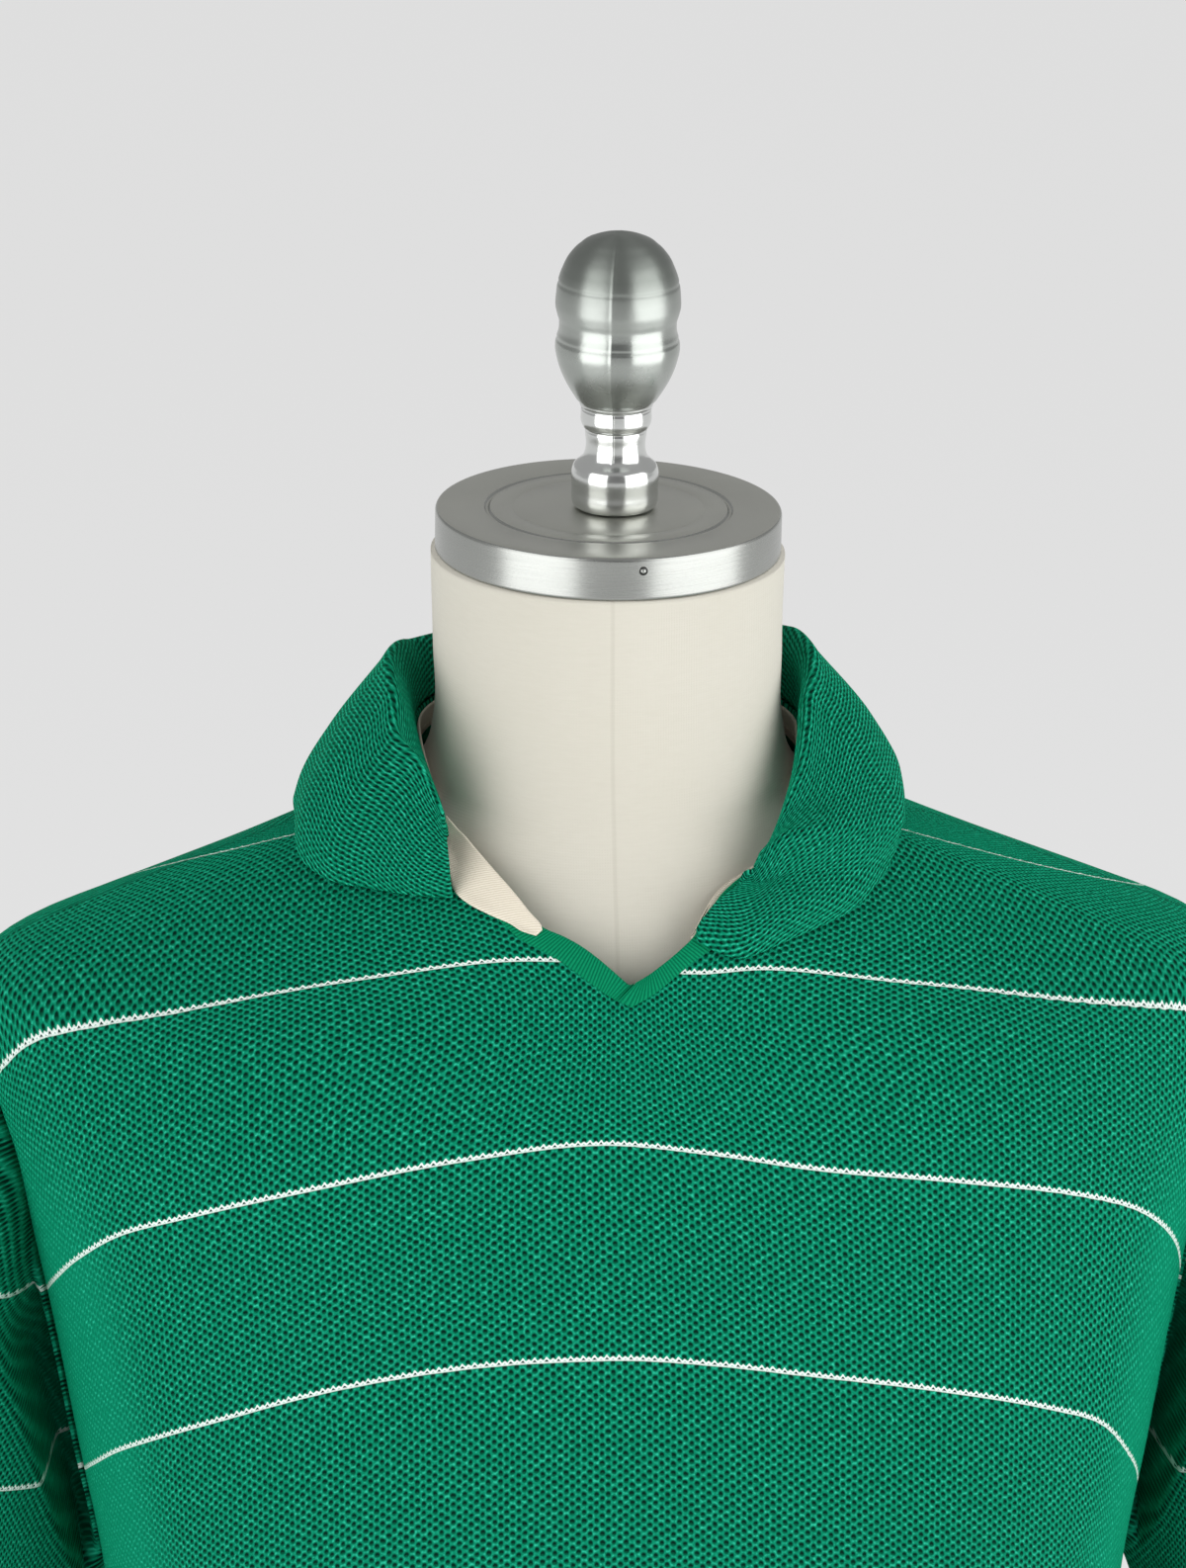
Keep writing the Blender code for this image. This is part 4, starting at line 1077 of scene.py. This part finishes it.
rib_knit = finished("cotton_fine_rib", KNIT_SHEEN, rib_nodes)
for name, node, side in (("right_band", "v_band_right", -1), ("left_band", "v_band_left", 1)):
    tuck = 0.0 if side > 0 else LAP_TUCK
    low = LAP_LOW + side * LAP_GAP + tuck
    seam_a = low + (side * BAND_REACH - low) * np.linspace(0, 1, BAND_COLUMNS)
    seam_z = read(FRONT_NECK, "z", np.abs(seam_a))
    seam_n = outward(SHIRT, seam_a, seam_z)
    far_a = seam_a * (1 - BAND_RAKE)
    far_a = far_a + (LAP_HIGH + side * LAP_GAP + tuck - far_a[0]) * (1 - smooth(np.abs(seam_a - low), 0, 5))
    far_z = read(V_EDGE, "left" if side > 0 else "right", np.abs(far_a))
    if side < 0:
        under = read(V_EDGE, "left", np.abs(far_a)) - 1.0
        far_z = np.where(far_a > LAP_HIGH, np.minimum(far_z, under), far_z)
    w = np.concatenate([[0, 0.04], np.linspace(0.1, 0.9, BAND_ROWS - 5), [0.955, 0.985, 1]])[:, None]
    cut = w[:, :, None]
    middle = around(SHIRT, seam_a, seam_z - BAND_TUCKED) * (1 - cut) + around(SHIRT, far_a, far_z) * cut
    along = run_of(middle[BAND_ROWS // 2])
    ribs = RIB_DEEP * np.cos(2 * pi * along / RIB_MM)[None, :] * smooth(w, 0, 0.1) * smooth(w, 1.02, 0.9)
    start, end = LAP_RUN[0], LAP_RUN[2 if side > 0 else 1]
    lap = (LAP_LIFT if side > 0 else LAP_SINK) * (1 - smooth(along, start, end))[None, :]
    lift = BAND_WALL / 2 - BODY_WALL / 2 + ribs + BAND_PUFF * np.sin(pi * w) + lap
    middle = middle + seam_n[None] * lift[:, :, None]
    normal = np.broadcast_to(seam_n[None], middle.shape)
    uv = np.stack(np.broadcast_arrays(along[None, :] * MM, w * BAND_UV_M), -1)
    if side > 0:
        middle, normal, uv = middle[::-1], normal[::-1], uv[::-1]
    thin = "first", "last", "start"
    piece = cloth(name, middle, normal, BAND_WALL, uv, rib_knit, "rib_band", node, thin)

# ---- The facing and the tape ----
# Cream cotton twill finishes the inside of the neck. The wearer's right facing has turned out over the band,
# the left one shows as a thin edge past the V, and a narrow tape covers the seam of the back neck.
FACING_WALL = 1.3
FACING_SHOWS = -0.11
TAPE_WALL = 1.04
LAY_GAP = 0.55
TWILL_MM = 0.8
TAPE_SEWN = 7.6
LAPEL = (
    ("in_a", "in_z", "out_a", "out_z"),
    (11.9, -127.2, 12.4, -129.2),
    (12.7, -125.2, 14.6, -128.2),
    (14.8, -122.4, 16.9, -126.2),
    (18, -118.4, 20.2, -124.6),
    (22, -114.5, 24.2, -122.6),
    (27, -110.8, 28.4, -119.6),
    (33, -107.2, 32.5, -115.2),
    (38.5, -104.4, 37.3, -111.2),
    (42, -103.1, 40.8, -108.3),
    (46.5, -101.3, 45, -105.2),
    (49.6, -100.1, 48.6, -102.4),
)


# Cotton twill: matt cream, with a fine slanting rib and a little fuzz.
def twill_nodes(add):
    uv = add("UVMap", uv_map="cloth")
    slant = add("Mapping", {"Vector": uv, "Rotation": (0, 0, radians(38))})
    rib = {"Vector": slant, "Scale": 1 / (TWILL_MM * MM) / WAVES_A_UNIT, "Distortion": 0.8, "Detail": 2.0}
    rib = add("TexWave", rib, out="Fac")
    fuzz = add("TexNoise", {"Vector": uv, "Scale": 900.0, "Detail": 3.0})
    fuzz = add("Math", fuzz, 0.3, operation="MULTIPLY")
    tone = add("Mix", {0: rib, 6: srgb("#D9CFBB"), 7: srgb("#F1EADB")}, **COLOURS)
    tone = add("Mix", {0: fuzz, 6: tone, 7: srgb("#C9BEA8")}, **COLOURS)
    bump = add("Bump", {"Height": rib, "Strength": 0.3, "Distance": 0.0003})
    return {"Base Color": tone, "Normal": bump}


matt = {"Roughness": 0.88, "Specular IOR Level": 0.25, "Sheen Weight": 0.2}
twill = finished("cotton_twill_cream", matt, twill_nodes)


def flat_uv(grid):
    """Distances across and down a small piece, in metres."""
    return np.stack([run_of(grid, 1), run_of(grid, 0)], -1) * MM


def cream(name, node, angle, z, lift, wall, thin):
    """A strip of twill laid at a distance from the shirt's outside."""
    grid = lay_on(angle, z, lift)
    return cloth(name, grid, outward(SHIRT, angle, z), wall, flat_uv(grid), twill, "cream_tape", node, thin)


along = np.linspace(8.8, 28.5, 110)
w = np.concatenate([FACING_SHOWS + np.array([0, 0.02, 0.05]), np.linspace(-0.1, 1, 16)])[:, None]
z = read(V_EDGE, "left", along) * (1 - w) + read(FRONT_NECK, "z", along) * w
deep = BODY_WALL + LAY_GAP + 0.3 + FACING_WALL / 2
angle = np.broadcast_to(along, z.shape)
piece = cream("left_facing", "facing_left", angle, z, -deep, FACING_WALL, ("first", "start", "end"))

across = np.concatenate([[0, 0.02, 0.05], np.linspace(0.1, 0.9, 17), [0.95, 0.98, 1]])[:, None]
along = np.concatenate([[0, 0.04, 0.1], np.linspace(0.2, len(LAPEL) - 2.1, 100), [len(LAPEL) - 2]])
stations = range(len(LAPEL) - 1)
inner_a, inner_z, outer_a, outer_z = (spline(stations, column(LAPEL, c), along) for c in LAPEL[0])
a = inner_a * (1 - across) + outer_a * across
z = inner_z * (1 - across) + outer_z * across
low = LAY_GAP + 0.1 + (BAND_WALL - BODY_WALL) + FACING_WALL / 2
curl = 0.9 * smooth(across, 0.6, 1.0) * np.sin(np.linspace(0, 3.5 * pi, len(along)) + 0.6) ** 2
thin = "first", "last", "start", "end"
piece = cream("right_facing", "facing_right", -a, z, low + 0.25 + curl, FACING_WALL, thin)

turn = np.linspace(-118, 118, 180)
near = np.abs(turn)
top = np.where(near <= 90, read(BACK_NECK, "z", near), read(FRONT_NECK, "z", 180 - near))
angle, drop = np.broadcast_arrays(180 - turn, np.array([0.5, 0.8, 1.3, 3, 5, 7, 8.7, 9.2, 9.5])[:, None])
z = top - drop * (1 + 0.45 * smooth(near, 62, 84) * smooth(near, 118, 108))
under = BODY_WALL + LAY_GAP
line = lay_on(180 - turn, top - TAPE_SEWN, -(under + TAPE_WALL + STITCH_PROUD))
# The tape is held by the same thread in cream, pale and faintly glossy.
cream_thread = polyester("polyester_thread_cream", "#CFC6B2", "#F0EADC")
sewing = stitches("tape_stitches", [line], cream_thread, "cream_tape")
piece = cream("back_neck_tape", "neck_tape", angle, z, -(under + TAPE_WALL / 2), TAPE_WALL, ("first", "last"))

# ---- The collar ----
# One soft strip of the same pique, cut straight: a low stand that rolls over into the leaf, its ends apart
# at the front and rolled on the bias. It has no stiffening, so the leaf lies rounded, and the wearer's left
# end is folded across by its own weight.
COLLAR_WALL = 1.7
LEAF_SLANT = radians(-80)
COLLAR_COLUMNS = 330
STAND_ROWS, LEAF_ROWS = 22, 62
LEAF_FOLD, LEAF_FOLD_SPAN = 5.0, 0.2
LEAF_HOLLOW, LEAF_HOLLOW_AT = 3.0, 0.22
STAND_IN, STAND_UP = 0.4, 1.4
COLLAR_LEFT = (
    ("seam_a", "roll_a", "roll_r", "roll_z", "edge_a", "edge_r", "lift", "bulge", "sweep"),
    (50, 44.2, 88.8, -90.5, 40, 93, 4.5, 2, 1.5),
    (55, 48.1, 86.9, -84.2, 49, 98.5, 4.5, 3, 1),
    (62, 54.1, 85.2, -74.2, 57.5, 105, 5, 4, 0),
    (70, 63.1, 84, -68.4, 65, 112, 5, 4, 0),
    (80, 72.4, 78.3, -58.9, 73.5, 116, 5, 4.5, 0),
    (93, 92, 74.3, -53.6, 87, 112.5, 5, 3, 0),
    (107, 107, 73.3, -55.8, 103, 113, 5, 3, 0),
    (120, 120, 75.5, -60.9, 119, 115, 5, 2, 0),
    (150, 150, 80, -67, 149, 110, 12, 2, 0),
)
COLLAR_RIGHT = (
    ("seam_a", "roll_a", "roll_r", "roll_z", "edge_a", "edge_r", "lift", "bulge", "sweep"),
    (39, 34.2, 84.8, -108.5, 14.6, 93.8, 5, 0.5, 5),
    (44, 38.3, 82.6, -102.5, 23, 99.5, 5, 3, 3),
    (51, 45.5, 79.9, -91.8, 32, 101, 4.5, 5, 1.5),
    (61, 54, 76.5, -81.8, 41, 103.5, 4.5, 6, 0),
    (73, 63.1, 72.9, -72.4, 51, 106.5, 5, 6.5, 0),
    (86, 74.9, 70, -62.7, 63, 107, 5, 6.5, 0),
    (98, 95, 70, -55.5, 79, 105, 5, 6, 0),
    (109, 109, 71, -55.8, 98, 104.5, 5, 3.5, 0),
    (121, 121, 73.5, -59, 117, 110, 6, 0, 0),
    (150, 150, 80, -66.5, 149, 110, 12, 2, 0),
)
COLLAR_BACK = (180, 180, 81, -68.5, 180, 107, 17, 2, 0)


def neckline(side):
    """The neck seam by its angle round the neck, one side, centre front to centre back: radius and height."""
    front = np.linspace(0, 90, 40)
    back = np.linspace(90, 180, 40)[1:]
    a = around(SHIRT, side * front, read(FRONT_NECK, "z", front))
    b = around(SHIRT, side * back, read(BACK_NECK, "z", 180 - back))
    x, y, z = np.concatenate([a, b]).T
    return np.degrees(np.arctan2(np.abs(x), -y)), np.hypot(x, y), z


def rest_height(x, y):
    """Height of the shirt's outside under a point, searched down from the neck."""
    heights = np.arange(-72.0, -260.0, -0.25)
    half, front, back, full_f, full_b = (read(SHIRT, name, heights)[:, None] for name in SHIRT[0][1:])
    full = np.where(y[None, :] < 0, full_f, full_b)
    across = np.clip(np.abs(x)[None, :] / half, 0, 1)
    depth = np.where(y[None, :] < 0, front, back) * np.sqrt(1 - across**2) * (1 + full * across**2)
    inside = (np.abs(x)[None, :] < half) & (np.abs(y)[None, :] < depth)
    found = heights[np.argmax(inside, axis=0)]
    return found - tilt(x, found)


def collar_grid():
    """Middle surface of the collar: rows from the neck seam over the roll to the outer edge."""
    stations = [(-1, row) for row in COLLAR_LEFT[1:]] + [(1, COLLAR_BACK)]
    stations += [(1, row) for row in COLLAR_RIGHT[:0:-1]]
    values = {name: [] for name in COLLAR_LEFT[0]}
    for side, row in stations:
        for name, value in zip(COLLAR_LEFT[0], row):
            if name.endswith("_a") and side > 0:
                value = 360 - value
            values[name].append(value * side if name == "sweep" else value)
    place = np.concatenate([[0], np.cumsum(np.abs(np.diff(values["edge_a"])) + 4.0)])
    inner = np.linspace(place[0], place[-1], COLLAR_COLUMNS - 3)
    near_ends = inner[0] + np.array([0, 0.35, 0.9]), inner[-1] - np.array([0.9, 0.35, 0])
    at = np.concatenate([near_ends[0], inner[1:-1], near_ends[1]])
    seam_a, roll_a, roll_r, roll_z, edge_a, edge_r, lift, bulge, sweep = (
        spline(place, values[name], at) for name in COLLAR_LEFT[0]
    )
    right, left = neckline(1), neckline(-1)
    seam_r, seam_z = (
        np.where(seam_a > 180, spline(right[0], right[k], 360 - seam_a), spline(left[0], left[k], seam_a))
        for k in (1, 2)
    )
    seam_r, seam_z = seam_r - STAND_IN, seam_z + STAND_UP
    tall = np.maximum(roll_z - seam_z, 2.0)
    out = np.clip((edge_r - roll_r) / 26.0, 0.35, 1.0)

    def polar(a, r, z):
        return np.stack([-r * np.sin(np.radians(a)), -r * np.cos(np.radians(a)), z], -1)

    def swung(p, share):
        t = np.radians(sweep * share)
        x, y, z = p.T
        return np.stack([x * np.cos(t) + y * np.sin(t), y * np.cos(t) - x * np.sin(t), z], -1)

    edge_z = rest_height(*polar(edge_a, edge_r, 0 * edge_r)[:, :2].T) + lift
    over_z = roll_z - np.minimum(5.5, 0.2 * (roll_z - edge_z))
    over = polar(roll_a * 0.88 + edge_a * 0.12, roll_r + 7.5 * out, over_z)
    edge = polar(edge_a, edge_r, edge_z)
    away = bulge[:, None] * (polar(edge_a, 1.0 + 0 * edge_z, 0 * edge_z) + np.array([0, 0, 0.35]))
    points = np.array([
        polar(seam_a, seam_r, seam_z),
        polar((seam_a + roll_a) / 2, (seam_r + roll_r) / 2, seam_z + 0.5 * tall),
        polar(roll_a, roll_r, roll_z - np.minimum(5.0, tall * 0.4)),
        polar(roll_a, roll_r + 3.2 * out, roll_z),
        swung(over, 0.7),
        swung(over * 0.52 + edge * 0.48 + away, 1.0),
        swung(over * 0.16 + edge * 0.84 + 0.8 * away, 0.5),
        edge,
    ])
    runs = run_of(points)
    grid = np.empty((STAND_ROWS + LEAF_ROWS + 1, len(at), 3))
    leaf = np.zeros(grid.shape[:2])
    for c, along in enumerate(runs.T):
        stand = np.linspace(0, along[3], STAND_ROWS + 1)[:-1]
        fine = [along[-1] - 0.8, along[-1] - 0.3, along[-1]]
        rows = np.concatenate([stand, np.linspace(along[3], along[-1] - 1.6, LEAF_ROWS - 2), fine])
        leaf[:, c] = (rows - along[3]) / (along[-1] - along[3])
        grid[:, c] = np.stack([spline(along, points[:, c, k], rows) for k in range(3)], -1)
    # The left leaf is folded across, from the end of its roll to its outer edge.
    back = ((place[-1] - at) / (place[-1] - place[len(COLLAR_LEFT) + 3]))[None, :]
    ridge, hollow = (
        np.clip(1 - np.abs(leaf - back - off) / LEAF_FOLD_SPAN, 0, 1) for off in (0, LEAF_HOLLOW_AT)
    )
    tent = ridge - LEAF_HOLLOW / LEAF_FOLD * hollow
    tent *= np.clip(1.25 - back, 0, 1) * np.clip(6 * (1 - leaf), 0, 1) * np.clip(4 * leaf, 0, 1)
    return grid + normals_of(grid) * (LEAF_FOLD * tent)[:, :, None]


grid = collar_grid()
for _ in range(2):
    soft = grid.copy()
    beside = grid[:-2, 1:-1] + grid[2:, 1:-1] + grid[1:-1, :-2] + grid[1:-1, 2:]
    soft[1:-1, 1:-1] = (grid[1:-1, 1:-1] * 4 + beside) / 8
    grid = soft
u, v = np.moveaxis(flat_uv(grid), -1, 0)
u = u - u[:, u.shape[1] // 2][:, None]
side = np.tanh(u / 0.025)
c, s = cos(LEAF_SLANT), sin(LEAF_SLANT)
uv = np.stack([u * c - v * s * side, v * c + u * s * side], -1)
# The collar's knit has no white course. It is drawn tight over the roll, and its holes close up into slanting
# lines, so it looks denser and more even than the body.
mesh_plain = finished("cotton_open_mesh_plain", KNIT_SHEEN, partial(mesh_nodes, striped=False, drawn=0.8))
thin = "last", "start", "end"
out = normals_of(grid)
collar = cloth("collar_leaf", grid, out, COLLAR_WALL, uv, mesh_plain, "mesh_knit", "collar", thin)

# ---- The floor, the light and the camera ----
# A plain pale floor that glows a little, so that it stays even. Two tall soft panels stand on it left and
# right of the camera, and a dim room lights the rest, darker behind the camera.
FLOOR_HALF = 40.0
PANEL_AWAY = 1.45
PANEL_TALL = 1.95
PANEL_LIGHT = 2.05
PANELS = (-50.7, 1.37), (56.5, 1.85)
ROOM_DARK, ROOM_LIGHT = 0.2, 0.42
mesh = bpy.data.meshes.new("floor")
corners = (-1, -1), (1, -1), (1, 1), (-1, 1)
mesh.from_pydata([(x * FLOOR_HALF, y * FLOOR_HALF, 0) for x, y in corners], [], [(0, 1, 2, 3)])
pale = {
    "Base Color": srgb("#8A8A8A"),
    "Roughness": 1.0,
    "Specular IOR Level": 0.0,
    "Emission Color": (1, 1, 1, 1),
    "Emission Strength": 0.625,
}
mesh.materials.append(finished("floor_pale", pale))
shown("floor", mesh)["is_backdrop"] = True

for bearing, wide in PANELS:
    light = bpy.data.lights.new("soft_panel", "AREA")
    light.shape = "RECTANGLE"
    light.size, light.size_y = wide, PANEL_TALL
    light.energy = PANEL_LIGHT * pi * wide * PANEL_TALL
    stand = shown("soft_panel", light)
    bearing = radians(bearing)
    stand.location = (PANEL_AWAY * sin(bearing), -PANEL_AWAY * cos(bearing), PANEL_TALL / 2 + 0.02)
    stand.rotation_euler = (radians(90), 0, bearing)
    stand.visible_camera = False

world = bpy.data.worlds.new("studio")
bpy.context.scene.world = world
world.use_nodes = True
add = partial(add_node, world.node_tree)
towards = add("SeparateXYZ", add("TexCoord", out="Generated"), out=1)
room = add("MapRange", towards, -0.95, -0.7, ROOM_DARK, ROOM_LIGHT)
background = world.node_tree.nodes["Background"]
background.inputs["Color"].default_value = (1, 1, 1, 1)
world.node_tree.links.new(room, background.inputs["Strength"])

SENSOR = 36.0
FOCAL_PX = 5720.0
FRAME_HIGH_PX = 1586.0
CAMERA_PLACE = -0.1554, -1.90205, 1.3564
CAMERA_DOWN, CAMERA_TURN = 19.71, -4.5
camera = shown("camera", bpy.data.cameras.new("camera"))
camera.data.sensor_width = SENSOR
camera.data.lens = FOCAL_PX * SENSOR / FRAME_HIGH_PX
camera.data.clip_end = 100.0
camera.location = CAMERA_PLACE
camera.rotation_euler = (radians(90 - CAMERA_DOWN), 0, radians(CAMERA_TURN))
bpy.context.scene.camera = camera
bpy.context.scene.view_settings.view_transform = "Standard"

low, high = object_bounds()
